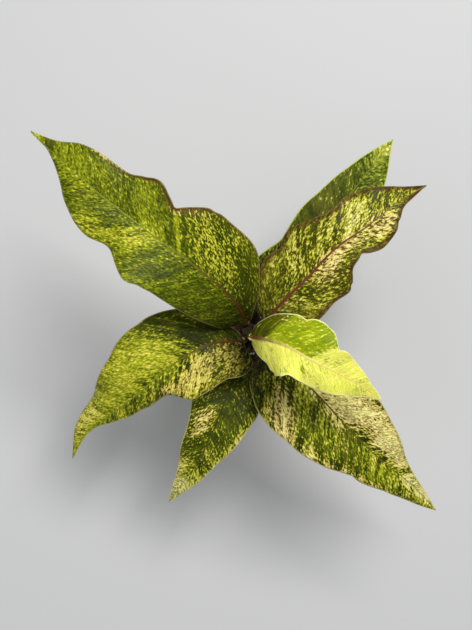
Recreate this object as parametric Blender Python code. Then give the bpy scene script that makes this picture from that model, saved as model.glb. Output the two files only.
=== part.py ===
"""A potted anthurium: seven pointed, waved leaves on short stalks, rising from a stub of stem in a round pot.

Metres, with +Z up. The origin is the middle of the pot's underside, and +Y is the back of the plant.
Run it with  blender --background --python part.py  or from Blender's text editor.
"""

import math
import random

import bmesh
import bpy
from mathutils import Matrix, Vector, noise

MM = 0.001
UP = Vector((0.0, 0.0, 1.0))
CLEARANCE = 0.3 * MM  # between a piece and what it stands in or grows from

# The pot: a thin moulded plastic cone with a deep rim and drain holes round its foot.
POT_HEIGHT = 85 * MM
POT_RIM_RADIUS = 45 * MM
POT_FOOT_RADIUS = 31.5 * MM
POT_SHOULDER_RADIUS = 42.6 * MM
POT_RIM_DEPTH = 12 * MM
POT_WALL = 1.3 * MM
POT_FLOOR = 2.0 * MM
POT_SIDES = 48
DRAIN_HOLES = 8
DRAIN_RADIUS = 3.2 * MM

# The potting mix: a plug with a lumpy top, and bark chips that stand out of it.
MIX_LEVEL = 75 * MM
MIX_MOUND = 2.5 * MM
MIX_LUMPS = 1.6 * MM
MIX_RINGS = 6
BARK_CHIPS = 24
BARK_NEAREST = 17 * MM
BARK_FURTHEST = 33 * MM

# The stem: a stub with the scars of old leaves, and thick roots that arch down into the mix.
STEM_FOOT = 42 * MM
STEM_TOP = 112 * MM
STEM_RADIUS = 6.8 * MM
STEM_NODE_SPACING = 6.5 * MM
STEM_SIDES = 16
STEM_RINGS = 18  # above the mix
ROOT_AZIMUTHS = (32, 98, 178, 226, 280, 338)
ROOT_RADIUS = 1.4 * MM

# Leaves: common sizes.
BLADE_THICKNESS = 0.8 * MM
BLADE_STATIONS = 24
SIDE_STEPS = 4  # columns of the mesh from the midrib's edge to the margin, on each side
STALK_STATIONS = 7
STALK_RADIUS = 2.1 * MM
STALK_BASE_RADIUS = 3.3 * MM
RIB_RADIUS = 1.7 * MM
RIB_TIP_RADIUS = 0.35 * MM
BASE_ROUNDING = 0.07  # the share of the blade over which its base rounds off
VEIN_SLANT = 0.89  # how far a side vein runs forward for each unit it runs out from the midrib
LOBE_LENGTH = 0.3  # the share of the blade over which its lobes are swept back
LAST_STATION = 0.985

# Each leaf, from the oldest to the youngest:
#   stem     where its stalk leaves the stem: the direction in degrees, the height and the swing outwards, mm
#   midrib   seven points at even steps from the blade's base to its tip, in mm
#   left     half-widths of the side on the left as one looks to the tip, at every twelfth of the blade, in mm
#   right    the same for the right side
#   lobes    how far the left and the right side reach back past the stalk, in mm
#   fold     how steeply the left and the right side rise from the midrib
#   curl     how far the left and the right margin then bend down again, in mm
#   waves    how many waves a margin has, their height in mm, and the share of the blade where a crest of the
#            left and of the right side leaves the midrib. Each crest follows a side vein out to the margin.
LEAVES = {
    "leaf_1": dict(
        stem=(250, 84, 11),
        midrib=((-6, -21, 114), (-14, -37, 126), (-21, -56, 130), (-29, -75, 126), (-38, -92, 117),
                (-48, -107, 106), (-58, -122, 94)),
        left=(15, 22, 24.5, 24.5, 22, 19.5, 16.5, 13, 10.5, 8.5, 6, 3, 0),
        right=(7, 17, 21, 22, 20.5, 18, 17, 15.5, 12.5, 9, 6, 3.5, 0),
        lobes=(2, 2), fold=(0.22, 0.25), curl=(2.5, 2.5), waves=(2.6, 1.0, 0.3, 0.45),
    ),
    "leaf_2": dict(
        stem=(72, 87, 11),
        midrib=((8, 19, 120), (19, 33, 139), (33, 50, 151), (48, 70, 156), (65, 91, 154), (80, 110, 147),
                (95, 129, 137)),
        left=(10.5, 20, 23, 21, 17.5, 18.5, 19, 17, 15, 12, 9, 5, 0),
        right=(6, 12, 15, 17, 18, 18.5, 19, 19, 18, 16, 11.5, 5.5, 0),
        lobes=(2, 2), fold=(0.2, 0.2), curl=(2, 2), waves=(3.0, 1.4, 0.35, 0.5),
    ),
    "leaf_3": dict(
        stem=(302, 91, 11),
        midrib=((9, -11, 127), (28, -25, 145), (48, -45, 152), (67, -66, 150), (87, -85, 142),
                (108, -102, 131), (127, -122, 121)),
        left=(8, 17, 22.5, 26.5, 28, 27.5, 26.5, 23, 18, 11, 5.5, 3, 0),
        right=(19, 28, 34.5, 37, 36, 34, 29, 23, 20, 15.5, 12.5, 7.5, 0),
        lobes=(3, 3), fold=(0.28, 0.2), curl=(4, 5), waves=(2.6, 1.3, 0.6, 0.35),
    ),
    "leaf_4": dict(
        stem=(196, 95, 11),
        midrib=((-5, -5, 142), (-29, -8, 156), (-53, -22, 156), (-74, -40, 148), (-94, -55, 133),
                (-113, -69, 116), (-126, -90, 98)),
        left=(16, 23.5, 25, 27, 25, 13.5, 11.5, 9, 6, 2.5, 1.5, 1, 0),
        right=(4, 12, 24.5, 32.5, 35, 34.5, 30.5, 26, 20.5, 15.5, 10, 5, 0),
        lobes=(13, 4), fold=(0.3, 0.22), curl=(6, 7), waves=(2.6, 2.0, 0.25, 0.45),
    ),
    "leaf_5": dict(
        stem=(14, 99, 11),
        midrib=((9, 7, 144), (21, 21, 160), (36, 36, 171), (52, 53, 178), (72, 67, 180), (91, 82, 176),
                (111, 94, 168)),
        left=(7, 17, 23, 27.5, 26.5, 29, 24, 21.5, 23, 19.5, 12.5, 5.5, 0),
        right=(7, 17, 23, 24, 23, 25, 17, 14, 16.5, 13.5, 5.5, 2.5, 0),
        lobes=(3, 3), fold=(0.1, 0.3), curl=(3, 3), waves=(3.0, 3.0, 0.4, 0.45),
    ),
    "leaf_6": dict(
        stem=(126, 103, 11),
        midrib=((-3, 7, 150), (-12, 22, 174), (-33, 40, 193), (-59, 59, 202), (-85, 79, 205),
                (-111, 101, 200), (-135, 124, 190)),
        left=(12, 19, 22.5, 26, 28, 28.5, 31.5, 22, 24.5, 18.5, 8, 1, 0),
        right=(3, 8.5, 19.5, 32, 33.5, 33, 22.5, 28, 21, 19.5, 16, 6.5, 0),
        lobes=(3, 4), fold=(0.2, 0.35), curl=(4, 4), waves=(2.6, 3.2, 0.32, 0.4),
    ),
    "leaf_7": dict(
        stem=(300, 110, 5),
        midrib=((0, -2, 172), (8, -3, 190), (21, -7, 201), (35, -15, 206), (51, -23, 204), (66, -31, 198),
                (79, -40, 190)),
        left=(4, 9, 14, 17.5, 20, 22.5, 22, 16, 13.5, 10, 6.5, 3.5, 0),
        right=(3, 9.5, 12.5, 15, 19, 15, 14.5, 14.5, 13.5, 10.5, 7, 3, 0),
        lobes=(2, 2), fold=(0.3, 0.12), curl=(3, 3), waves=(3.0, 2.0, 0.52, 0.3),
    ),
}

# Dry sheaths that once wrapped the leaf buds: where each leaves the stem, and its length and width, in mm.
SHEATHS = {
    "sheath_1": dict(azimuth=128, height=82, length=19, width=6),
    "sheath_2": dict(azimuth=166, height=86, length=24, width=6),
    "sheath_3": dict(azimuth=346, height=84, length=24, width=6),
}
SHEATH_THICKNESS = 0.7 * MM
SHEATH_STATIONS = 10
SHEATH_SIDE_STEPS = 3
SHEATH_LEAN = 0.42  # outward run for each unit of rise
SHEATH_HOLLOW = 0.35  # how far its two sides bend in round the stem, as a share of their width

COLOURS = {  # base colour and roughness
    "pot_plastic": ((0.021, 0.022, 0.024), 0.5),
    "potting_mix": ((0.070, 0.045, 0.028), 0.95),
    "stem_bark": ((0.150, 0.120, 0.060), 0.75),
    "dry_sheath": ((0.180, 0.105, 0.050), 0.8),
    "leaf_mottled": ((0.230, 0.290, 0.045), 0.4),
    "leaf_young": ((0.560, 0.620, 0.100), 0.4),
}


def clear_scene():
    for obj in list(bpy.data.objects):
        bpy.data.objects.remove(obj, do_unlink=True)


def material(name):
    found = bpy.data.materials.get(name)
    if found:
        return found
    colour, roughness = COLOURS[name]
    made = bpy.data.materials.new(name)
    made.use_nodes = True
    shader = made.node_tree.nodes["Principled BSDF"]
    shader.inputs["Base Color"].default_value = (*colour, 1.0)
    shader.inputs["Roughness"].default_value = roughness
    shader.inputs["Metallic"].default_value = 0.0
    return made


def object_from(bm, name, finish):
    """A linked object from a bmesh, its faces turned outwards and shaded smooth except at sharp edges."""
    bmesh.ops.recalc_face_normals(bm, faces=bm.faces)
    mesh = bpy.data.meshes.new(name)
    bm.to_mesh(mesh)
    bm.free()
    mesh.shade_smooth()
    mesh.set_sharp_from_angle(angle=math.radians(40))
    obj = bpy.data.objects.new(name, mesh)
    bpy.context.scene.collection.objects.link(obj)
    mesh.materials.append(material(finish))
    return obj


def smooth_value(values, share):
    """A smooth curve through evenly spaced numbers or vectors, read at a share of its length from 0 to 1."""
    last = len(values) - 1
    place = min(max(share, 0.0), 1.0) * last
    i = min(int(place), last - 1)
    f = place - i
    start, end = values[i], values[i + 1]
    slope_start = (end - values[i - 1]) * 0.5 if i > 0 else end - start
    slope_end = (values[i + 2] - start) * 0.5 if i + 2 <= last else end - start
    return (
        start * (2 * f**3 - 3 * f**2 + 1)
        + slope_start * (f**3 - 2 * f**2 + f)
        + end * (3 * f**2 - 2 * f**3)
        + slope_end * (f**3 - f**2)
    )


def ease(share):
    """0 to 1 with a soft start and end."""
    f = min(max(share, 0.0), 1.0)
    return f * f * (3 - 2 * f)


def lofted(rings, sheet_row=None, tip=None):
    """A closed bmesh through rings of points, with a fan over each end. A tip is the middle of the last fan.

    sheet_row is the number of points on each face of a thin sheet. Both faces of the sheet are then
    split along the same diagonals, so that they stay apart where it is waved.
    """
    bm = bmesh.new()
    rows = [[bm.verts.new(point) for point in ring] for ring in rings]
    count = len(rows[0])
    for near, far in zip(rows, rows[1:]):
        for j in range(count):
            k = (j + 1) % count
            if sheet_row and j >= sheet_row:
                bm.faces.new((near[j], near[k], far[j]))
                bm.faces.new((near[k], far[k], far[j]))
            else:
                bm.faces.new((near[j], near[k], far[k]))
                bm.faces.new((near[j], far[k], far[j]))
    for row, point in ((rows[0], None), (rows[-1], tip)):
        middle = bm.verts.new(point or sum((v.co for v in row), Vector()) / count)
        for j in range(count):
            bm.faces.new((row[j], row[(j + 1) % count], middle))
    return bm


def turned(profile, sides):
    """A closed bmesh turned round the Z axis from (radius, height) pairs, the first and last on the axis."""
    bm = bmesh.new()
    rows = []
    for radius, height in profile:
        if radius == 0:
            rows.append([bm.verts.new((0, 0, height))] * sides)
            continue
        angles = (math.tau * i / sides for i in range(sides))
        rows.append([bm.verts.new((radius * math.cos(a), radius * math.sin(a), height)) for a in angles])
    for low, high in zip(rows, rows[1:]):
        for i in range(sides):
            k = (i + 1) % sides
            corners = dict.fromkeys((low[i], low[k], high[k], high[i]))
            bm.faces.new(tuple(corners))
    return bm


def tube(points, radii, sides):
    """A closed bmesh tube through a line of points, with a radius at each."""
    rings = []
    for i, point in enumerate(points):
        along = (points[min(i + 1, len(points) - 1)] - points[max(i - 1, 0)]).normalized()
        across = UP.cross(along)
        across = across.normalized() if across.length > 1e-6 else Vector((1, 0, 0))
        over = along.cross(across)
        turns = (math.tau * j / sides for j in range(sides))
        rings.append([point + radii[i] * (math.cos(a) * across + math.sin(a) * over) for a in turns])
    return lofted(rings)


def bezier(a, b, c, d, share):
    back = 1 - share
    return a * back**3 + b * 3 * back**2 * share + c * 3 * back * share**2 + d * share**3


def apply_boolean(obj, others, operation):
    """Joins the other objects to obj, or cuts them out of it, and removes them."""
    group = bpy.data.collections.new(obj.name + "_tools")
    bpy.context.scene.collection.children.link(group)
    for other in others:
        bpy.context.scene.collection.objects.unlink(other)
        group.objects.link(other)
    modifier = obj.modifiers.new(operation.lower(), "BOOLEAN")
    modifier.operation = operation
    modifier.solver = "EXACT"
    modifier.operand_type = "COLLECTION"
    modifier.collection = group
    graph = bpy.context.evaluated_depsgraph_get()
    result = bpy.data.meshes.new_from_object(obj.evaluated_get(graph))
    obj.modifiers.remove(modifier)
    obj.data = result
    for other in others:
        bpy.data.objects.remove(other, do_unlink=True)
    bpy.data.collections.remove(group)


def round_point(radius, azimuth, height):
    angle = math.radians(azimuth)
    return Vector((radius * math.cos(angle), radius * math.sin(angle), height))


# The pot

def pot_inner_radius(height):
    """The radius of the tapered wall's inside at a height."""
    share = height / (POT_HEIGHT - POT_RIM_DEPTH)
    outer = POT_FOOT_RADIUS + (POT_SHOULDER_RADIUS - POT_FOOT_RADIUS) * share
    return outer - POT_WALL


def make_pot():
    rim_low = POT_HEIGHT - POT_RIM_DEPTH
    rim_inner = POT_RIM_RADIUS - 2.0 * MM
    bevel = 0.6 * MM
    profile = [
        (0, 0),
        (POT_FOOT_RADIUS - bevel, 0),
        (POT_FOOT_RADIUS, bevel),
        (POT_SHOULDER_RADIUS, rim_low),
        (POT_RIM_RADIUS - bevel, rim_low + bevel),
        (POT_RIM_RADIUS, rim_low + 2 * bevel),
        (POT_RIM_RADIUS, POT_HEIGHT - bevel),
        (POT_RIM_RADIUS - bevel, POT_HEIGHT),
        (rim_inner + bevel, POT_HEIGHT),
        (rim_inner, POT_HEIGHT - bevel),
        (pot_inner_radius(rim_low), rim_low),
        (pot_inner_radius(POT_FLOOR), POT_FLOOR),
        (0, POT_FLOOR),
    ]
    pot = object_from(turned(profile, POT_SIDES), "pot", "pot_plastic")
    drains = []
    for i in range(DRAIN_HOLES):
        bm = bmesh.new()
        where = round_point(POT_FOOT_RADIUS - 1.5 * MM, 360 * (i + 0.5) / DRAIN_HOLES, 1.5 * MM)
        bmesh.ops.create_cone(
            bm, segments=12, radius1=DRAIN_RADIUS, radius2=DRAIN_RADIUS, depth=7 * MM, cap_ends=True,
            matrix=Matrix.Translation(where),
        )
        drains.append(object_from(bm, f"drain_{i}", "pot_plastic"))
    apply_boolean(pot, drains, "DIFFERENCE")


# The potting mix

def mix_height(x, y):
    """The height of the mix's top: a low mound round the stem, with lumps."""
    away = math.hypot(x, y) / POT_SHOULDER_RADIUS
    lumps = noise.noise(Vector((x, y, 0)) / (9 * MM)) * MIX_LUMPS
    return MIX_LEVEL + MIX_MOUND * (1 - away) + lumps


def make_chip(number, rng):
    """A bark chip: a flat, broken lump lying on the mix, sunk into it by half."""
    bm = bmesh.new()
    bmesh.ops.create_icosphere(bm, subdivisions=1, radius=1.0)
    for vert in bm.verts:
        vert.co *= rng.uniform(0.8, 1.2)
    distance = rng.uniform(BARK_NEAREST, BARK_FURTHEST)
    spot = round_point(distance, rng.uniform(0, 360), 0)
    spot.z = mix_height(spot.x, spot.y) + 0.4 * MM
    length, width, depth = rng.uniform(2.6, 4.8), rng.uniform(2.0, 3.2), rng.uniform(1.2, 2.0)
    size = Matrix.Diagonal((length * MM, width * MM, depth * MM, 1))
    tilt = Matrix.Rotation(rng.uniform(-0.4, 0.4), 4, "X")
    turn = Matrix.Rotation(rng.uniform(0, math.tau), 4, "Z")
    bmesh.ops.transform(bm, matrix=Matrix.Translation(spot) @ turn @ tilt @ size, verts=bm.verts)
    return object_from(bm, f"chip_{number}", "potting_mix")


def make_mix():
    """A tapered plug that fills the pot, 0.3 mm clear of it, with sockets for the stem and its roots."""
    bm = bmesh.new()
    foot = POT_FLOOR + CLEARANCE
    angles = [math.tau * i / POT_SIDES for i in range(POT_SIDES)]
    edge = pot_inner_radius(MIX_LEVEL - 6 * MM) - CLEARANCE

    def ring(radius, height=None):
        spots = [(radius * math.cos(a), radius * math.sin(a)) for a in angles]
        return [bm.verts.new((x, y, mix_height(x, y) if height is None else height)) for x, y in spots]

    rows = [
        ring(pot_inner_radius(POT_FLOOR) - 2 * CLEARANCE, foot),
        ring(edge, MIX_LEVEL - 6 * MM),
    ]
    rows += [ring(edge * (1 - i / MIX_RINGS)) for i in range(MIX_RINGS)]
    for outer, inner in zip(rows, rows[1:]):
        for i in range(POT_SIDES):
            k = (i + 1) % POT_SIDES
            bm.faces.new((outer[i], outer[k], inner[k], inner[i]))
    bm.faces.new(list(reversed(rows[0])))
    bm.faces.new(rows[-1])
    bmesh.ops.triangulate(bm, faces=bm.faces)
    mix = object_from(bm, "potting_mix", "potting_mix")
    rng = random.Random(11)
    apply_boolean(mix, [make_chip(i, rng) for i in range(BARK_CHIPS)], "UNION")
    apply_boolean(mix, stem_pieces("socket", CLEARANCE), "DIFFERENCE")


# The stem and its roots

def stem_radius(height):
    """The stem's radius at a height: pointed below, ringed by leaf scars above."""
    below = ease((height - STEM_FOOT) / (MIX_LEVEL - STEM_FOOT))
    above = 1 - 0.22 * ease((height - MIX_LEVEL) / (STEM_TOP - MIX_LEVEL))
    scars = 0.35 * MM * math.cos(math.tau * (height - STEM_TOP) / STEM_NODE_SPACING)
    return STEM_RADIUS * (0.45 + 0.55 * below) * above + scars


def stem_rings(grow):
    bare = MIX_LEVEL - 2 * MM
    heights = [STEM_FOOT + (bare - STEM_FOOT) * i / 3 for i in range(3)]
    heights += [bare + (STEM_TOP - bare) * i / STEM_RINGS for i in range(STEM_RINGS + 1)]
    rings = []
    for height in heights:
        radius = stem_radius(height) + grow
        rings.append([round_point(radius, 360 * j / STEM_SIDES, height) for j in range(STEM_SIDES)])
    dome = stem_radius(STEM_TOP)
    rings[0] = [point - UP * grow for point in rings[0]]
    for share in (0.45, 0.8):
        radius = dome * math.cos(share * math.pi / 2) + grow
        height = STEM_TOP + 2.2 * MM * math.sin(share * math.pi / 2) + grow
        rings.append([round_point(radius, 360 * j / STEM_SIDES, height) for j in range(STEM_SIDES)])
    return rings


def root_line(azimuth, number):
    """A root leaves the stem just above the mix, arches out and dives into it."""
    reach = (17 + 2.5 * math.cos(2.1 * number)) * MM
    leaves_at = MIX_LEVEL + (6 + 1.5 * math.sin(3.7 * number)) * MM
    start = round_point(STEM_RADIUS * 0.3, azimuth, leaves_at - 1 * MM)
    crest = round_point(reach * 0.62, azimuth + 5, leaves_at + 2.5 * MM)
    dive = round_point(reach, azimuth + 9, leaves_at - 3 * MM)
    end = round_point(reach + 1 * MM, azimuth + 11, MIX_LEVEL - 12 * MM)
    return [bezier(start, crest, dive, end, i / 9) for i in range(10)]


def stem_pieces(name, grow):
    """The stem and its roots as separate objects, each grown outwards by the same amount."""
    pieces = [object_from(lofted(stem_rings(grow)), name, "stem_bark")]
    for number, azimuth in enumerate(ROOT_AZIMUTHS):
        line = root_line(azimuth, number)
        line[-1] += (line[-1] - line[-2]).normalized() * grow
        radii = [ROOT_RADIUS * (1 - 0.03 * i) + grow for i in range(len(line))]
        pieces.append(object_from(tube(line, radii, 8), f"{name}_root_{number}", "stem_bark"))
    return pieces


def make_stem():
    stem, *roots = stem_pieces("stem", 0)
    apply_boolean(stem, roots, "UNION")


# The leaves

def midrib_length(leaf):
    points = leaf["midrib"]
    return sum(math.dist(a, b) for a, b in zip(points, points[1:])) * MM


def blade_sizes(leaf, share):
    """The blade's left and right half-widths, and the midrib's radius, at a share of the blade's length."""
    rib = (RIB_RADIUS - RIB_TIP_RADIUS) * (1 - share) ** 1.2 + RIB_TIP_RADIUS
    rounding = math.sqrt(1 - (1 - min(share / BASE_ROUNDING, 1)) ** 2)
    sides = []
    for side in ("left", "right"):
        width = smooth_value(leaf[side], share) * MM * rounding
        sides.append(max(width, rib + 0.25 * MM))
    return sides[0], sides[1], rib


def midrib_frame(leaf, share):
    """The midrib's point at a share of its length, and the directions along it, to its left and upwards."""
    points = [Vector(point) * MM for point in leaf["midrib"]]
    step = 0.012
    here = smooth_value(points, share)
    ahead = smooth_value(points, share + step) - smooth_value(points, share - step)
    along = ahead.normalized()
    left = UP.cross(along).normalized()
    return here, along, left, along.cross(left)


def blade_point(leaf, share, across):
    """A point of the blade's middle surface. across runs from -1 at the right margin to 1 at the left."""
    here, along, left, up = midrib_frame(leaf, share)
    side = 0 if across >= 0 else 1
    width = blade_sizes(leaf, share)[side]
    out = abs(across)
    count, height, *crests = leaf["waves"]
    vein_start = share - out * width * VEIN_SLANT / midrib_length(leaf)
    turn = count * (vein_start - crests[side])
    taper = math.sin(math.pi * min(max(share, 0), 1)) ** 0.7
    fade = min(width / (12 * MM), 1.0)
    lift = leaf["fold"][side] * out * width
    lift -= leaf["curl"][side] * MM * out**2 * fade
    lift += height * MM * out**2 * taper * fade * math.cos(math.tau * turn)
    back = leaf["lobes"][side] * MM * out * (1 - ease(share / LOBE_LENGTH))
    return here + left * (across * width) + up * lift - along * back


def blade_normal(leaf, share, across):
    step = 0.004
    low, high = max(share - step, 0.0), min(share + step, 1.0)
    inner, outer = max(across - 0.02, -1.0), min(across + 0.02, 1.0)
    along = blade_point(leaf, high, across) - blade_point(leaf, low, across)
    over = blade_point(leaf, share, outer) - blade_point(leaf, share, inner)
    return along.cross(over).normalized()


def round_ring(centre, left, up, radius):
    """A stalk's ring, its points in the same order as a blade's: over the top to the right, then back."""
    columns = SIDE_STEPS + 1
    angles = [math.pi / 2 * (1 - k / (columns + 0.5)) for k in range(columns, -columns - 1, -1)]
    upper = [centre + radius * (math.cos(a) * left + math.sin(a) * up) for a in angles]
    lower = [centre + radius * (math.cos(a) * left - math.sin(a) * up) for a in reversed(angles)]
    return upper + lower


def blade_ring(leaf, share):
    """The points round the blade at a share of its length, with the midrib standing out, mostly below."""
    left_width, right_width, rib = blade_sizes(leaf, share)
    half = BLADE_THICKNESS / 2
    columns = SIDE_STEPS + 1
    upper, lower = [], []
    for k in range(columns, -columns - 1, -1):
        width = left_width if k >= 0 else right_width
        away = 0.0 if k == 0 else rib + (width - rib) * (abs(k) - 1) / SIDE_STEPS
        across = math.copysign(away / width, k)
        point, normal = blade_point(leaf, share, across), blade_normal(leaf, share, across)
        above, below = (0.35 * rib, 0.9 * rib) if k == 0 else (0.0, 0.0)
        upper.append(point + normal * (half + above))
        lower.append(point - normal * (half + below))
    return upper + lower[::-1]


def stalk_rings(leaf):
    """Rings from inside the stem up to the blade: wide at the stalk's base, swollen just below the blade."""
    azimuth, height, swing = leaf["stem"]
    base, along, blade_left, _ = midrib_frame(leaf, 0.0)
    start = round_point(STEM_RADIUS * 0.35 * swing / 11, azimuth, height * MM)
    length = (base - start).length
    leaves = round_point(swing * MM, azimuth, height * MM + 0.22 * length)
    arrives = base - (0.35 * along + UP).normalized() * length * 0.3
    rings = []
    for i in range(STALK_STATIONS):
        share = i / STALK_STATIONS
        here = bezier(start, leaves, arrives, base, share)
        ahead = (bezier(start, leaves, arrives, base, share + 0.02) - here).normalized()
        left = (blade_left - ahead * blade_left.dot(ahead)).normalized()
        flare = (STALK_BASE_RADIUS - STALK_RADIUS) * (1 - ease(share / 0.45))
        swelling = 0.35 * MM * ease((share - 0.6) / 0.3)
        radius = STALK_RADIUS + flare + swelling
        rings.append(round_ring(here, left, ahead.cross(left), radius))
    return rings


def leaf_rings(leaf):
    """The rings of the stalk, then of the blade, which take over from a round one at its base."""
    rings = stalk_rings(leaf)
    for i in range(BLADE_STATIONS + 1):
        step = i / BLADE_STATIONS
        share = LAST_STATION * (step - 0.07 * math.sin(math.tau * step))
        blade = ease(share / 0.035)
        ring = blade_ring(leaf, share)
        if blade < 1:
            here, _, left, up = midrib_frame(leaf, share)
            start = round_ring(here, left, up, STALK_RADIUS)
            ring = [a.lerp(b, blade) for a, b in zip(start, ring)]
        rings.append(ring)
    return rings


def make_leaf(name):
    leaf = LEAVES[name]
    finish = "leaf_young" if name == "leaf_7" else "leaf_mottled"
    tip = Vector(leaf["midrib"][-1]) * MM
    bm = lofted(leaf_rings(leaf), 2 * SIDE_STEPS + 3, tip)
    obj = object_from(bm, name, finish)
    cutter = object_from(lofted(stem_rings(CLEARANCE)), name + "_seat", "stem_bark")
    apply_boolean(obj, [cutter], "DIFFERENCE")


# The dry sheaths round the stem

def make_sheath(name):
    """A pointed scale that leans out from the stem, its two sides bent in towards it."""
    sizes = SHEATHS[name]
    out = round_point(1.0, sizes["azimuth"], 0)
    side = UP.cross(out)
    start = round_point(STEM_RADIUS * 0.5, sizes["azimuth"], sizes["height"] * MM - 1 * MM)
    length, width = sizes["length"] * MM, sizes["width"] * MM / 2
    rings = []
    for i in range(SHEATH_STATIONS + 1):
        share = 0.97 * i / SHEATH_STATIONS
        centre = start + UP * length * share + out * length * SHEATH_LEAN * (share + 0.45 * share**2)
        half_width = width * (1 - share**2.2) + 0.5 * MM
        faces = []
        for wall in (1, -1):
            row = []
            for k in range(SHEATH_SIDE_STEPS, -SHEATH_SIDE_STEPS - 1, -1):
                across = k / SHEATH_SIDE_STEPS
                bend = -SHEATH_HOLLOW * half_width * across**2
                depth = wall * SHEATH_THICKNESS / 2
                row.append(centre + side * across * half_width + out * (bend - depth))
            faces.append(row)
        rings.append(faces[0] + faces[1][::-1])
    obj = object_from(lofted(rings, 2 * SHEATH_SIDE_STEPS + 1), name, "dry_sheath")
    cutter = object_from(lofted(stem_rings(CLEARANCE)), name + "_seat", "stem_bark")
    apply_boolean(obj, [cutter], "DIFFERENCE")


def main():
    clear_scene()
    make_pot()
    make_mix()
    make_stem()
    for name in LEAVES:
        make_leaf(name)
    for name in SHEATHS:
        make_sheath(name)


main()
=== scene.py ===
# %% [markdown]
# # A potted anthurium
#
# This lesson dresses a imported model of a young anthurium: seven pointed, waved leaves on short stalks, a stub
# of stem with thick roots, three dry sheaths, a plug of potting mix and a round nursery pot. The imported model
# gives every piece its true place and size. Here each one gets a finer form, with veins, chips and grains,
# and a finish.
#
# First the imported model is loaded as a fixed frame. Its box is kept, so that the dressed plant can be
# compared with it at the end: nothing here may make the plant larger.

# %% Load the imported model
import math
import random

import bmesh
import bpy
import numpy as np
from mathutils import Matrix, Vector, noise


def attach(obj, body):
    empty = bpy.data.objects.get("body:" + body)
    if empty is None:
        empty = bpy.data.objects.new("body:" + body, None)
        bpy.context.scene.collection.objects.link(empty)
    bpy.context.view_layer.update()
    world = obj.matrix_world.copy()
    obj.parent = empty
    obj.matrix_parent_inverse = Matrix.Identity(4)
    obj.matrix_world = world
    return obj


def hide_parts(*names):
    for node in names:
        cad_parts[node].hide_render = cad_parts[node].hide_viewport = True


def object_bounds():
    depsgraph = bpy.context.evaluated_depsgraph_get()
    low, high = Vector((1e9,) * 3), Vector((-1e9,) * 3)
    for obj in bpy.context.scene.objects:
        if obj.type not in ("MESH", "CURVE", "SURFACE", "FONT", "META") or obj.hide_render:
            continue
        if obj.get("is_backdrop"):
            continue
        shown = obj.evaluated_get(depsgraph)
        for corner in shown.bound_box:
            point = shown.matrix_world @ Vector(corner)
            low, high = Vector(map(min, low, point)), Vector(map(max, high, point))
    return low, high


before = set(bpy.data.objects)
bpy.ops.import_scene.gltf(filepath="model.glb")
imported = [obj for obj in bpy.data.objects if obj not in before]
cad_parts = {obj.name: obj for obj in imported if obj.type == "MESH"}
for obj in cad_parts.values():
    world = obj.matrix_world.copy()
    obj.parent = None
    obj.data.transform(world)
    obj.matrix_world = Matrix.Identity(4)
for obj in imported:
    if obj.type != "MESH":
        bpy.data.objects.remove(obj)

MM = 0.001
UP = np.array((0.0, 0.0, 1.0))
cad_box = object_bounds()
print("nodes in the frame:", ", ".join(sorted(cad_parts)))

# %% [markdown]
# ## Camera
#
# The plant is seen from straight above, from about arm's length. A real camera at that distance makes the
# high leaves look a little larger than the low ones, so the height matters as much as the angle of view.
# Fitting the sensor by its height keeps the same view whatever the width of the picture.

# %% The camera
CAMERA_PLACE = (-9.8 * MM, 11.8 * MM, 750 * MM)
FOCAL_PIXELS = 919  # the focal length in pixels of the picture
PICTURE_HEIGHT = 630  # in pixels
SENSOR_HEIGHT = 24  # in mm


def link(data, name):
    """A new object in the scene, for a mesh, a lamp or a camera."""
    obj = bpy.data.objects.new(name, data)
    bpy.context.scene.collection.objects.link(obj)
    return obj


camera_data = bpy.data.cameras.new("overhead_camera")
camera_data.sensor_fit = "VERTICAL"
camera_data.sensor_height = SENSOR_HEIGHT
camera_data.lens = SENSOR_HEIGHT * FOCAL_PIXELS / PICTURE_HEIGHT
camera = link(camera_data, "overhead_camera")
camera.location = CAMERA_PLACE
bpy.context.scene.camera = camera
print(f"camera: {camera_data.lens:.1f} mm lens, {CAMERA_PLACE[2]:.2f} m up")

# %% [markdown]
# ## A small kit for node trees
#
# Shader trees and geometry trees are built the same way: add a node, set its choices, and feed each input
# with a number, a colour or another node's output. One helper does all three, so that a tree reads like a
# sum.

# %% Adding and feeding nodes
def feed(tree, socket, value):
    """Links an output to a socket, or sets the socket's own value."""
    if isinstance(value, bpy.types.NodeSocket):
        tree.links.new(value, socket)
    elif isinstance(value, tuple) and len(value) == 3 and socket.type == "RGBA":
        socket.default_value = (*value, 1)
    else:
        socket.default_value = value


def add_node(tree, kind, values=None, **choices):
    """A node with its choices set, then its inputs fed by name or by place in the list."""
    node = tree.nodes.new(kind)
    for key, choice in choices.items():
        setattr(node, key, choice)
    for key, value in (values or {}).items():
        feed(tree, node.inputs[key], value)
    return node


def first_output(tree, kind, values=None, **choices):
    return add_node(tree, kind, values, **choices).outputs[0]


print("node kit: feed, add_node, first_output")

# %% Sums, steps, mixes and noise
def sum_of(tree, operation, *values):
    """A Math node's output."""
    return first_output(tree, "ShaderNodeMath", dict(enumerate(values)), operation=operation)


def product(tree, result, *factors):
    for factor in factors:
        result = sum_of(tree, "MULTIPLY", result, factor)
    return result


def vector_times(tree, vector, number):
    """A vector made longer, or a colour made brighter, by a number."""
    return first_output(tree, "ShaderNodeVectorMath", {0: vector, "Scale": number}, operation="SCALE")


def parts_of(tree, vector):
    return add_node(tree, "ShaderNodeSeparateXYZ", {0: vector}).outputs


def distance_out(tree, x, y):
    """How far a place lies from the upright axis."""
    flat = first_output(tree, "ShaderNodeCombineXYZ", {0: x, 1: y})
    return add_node(tree, "ShaderNodeVectorMath", {0: flat}, operation="LENGTH").outputs["Value"]


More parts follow.
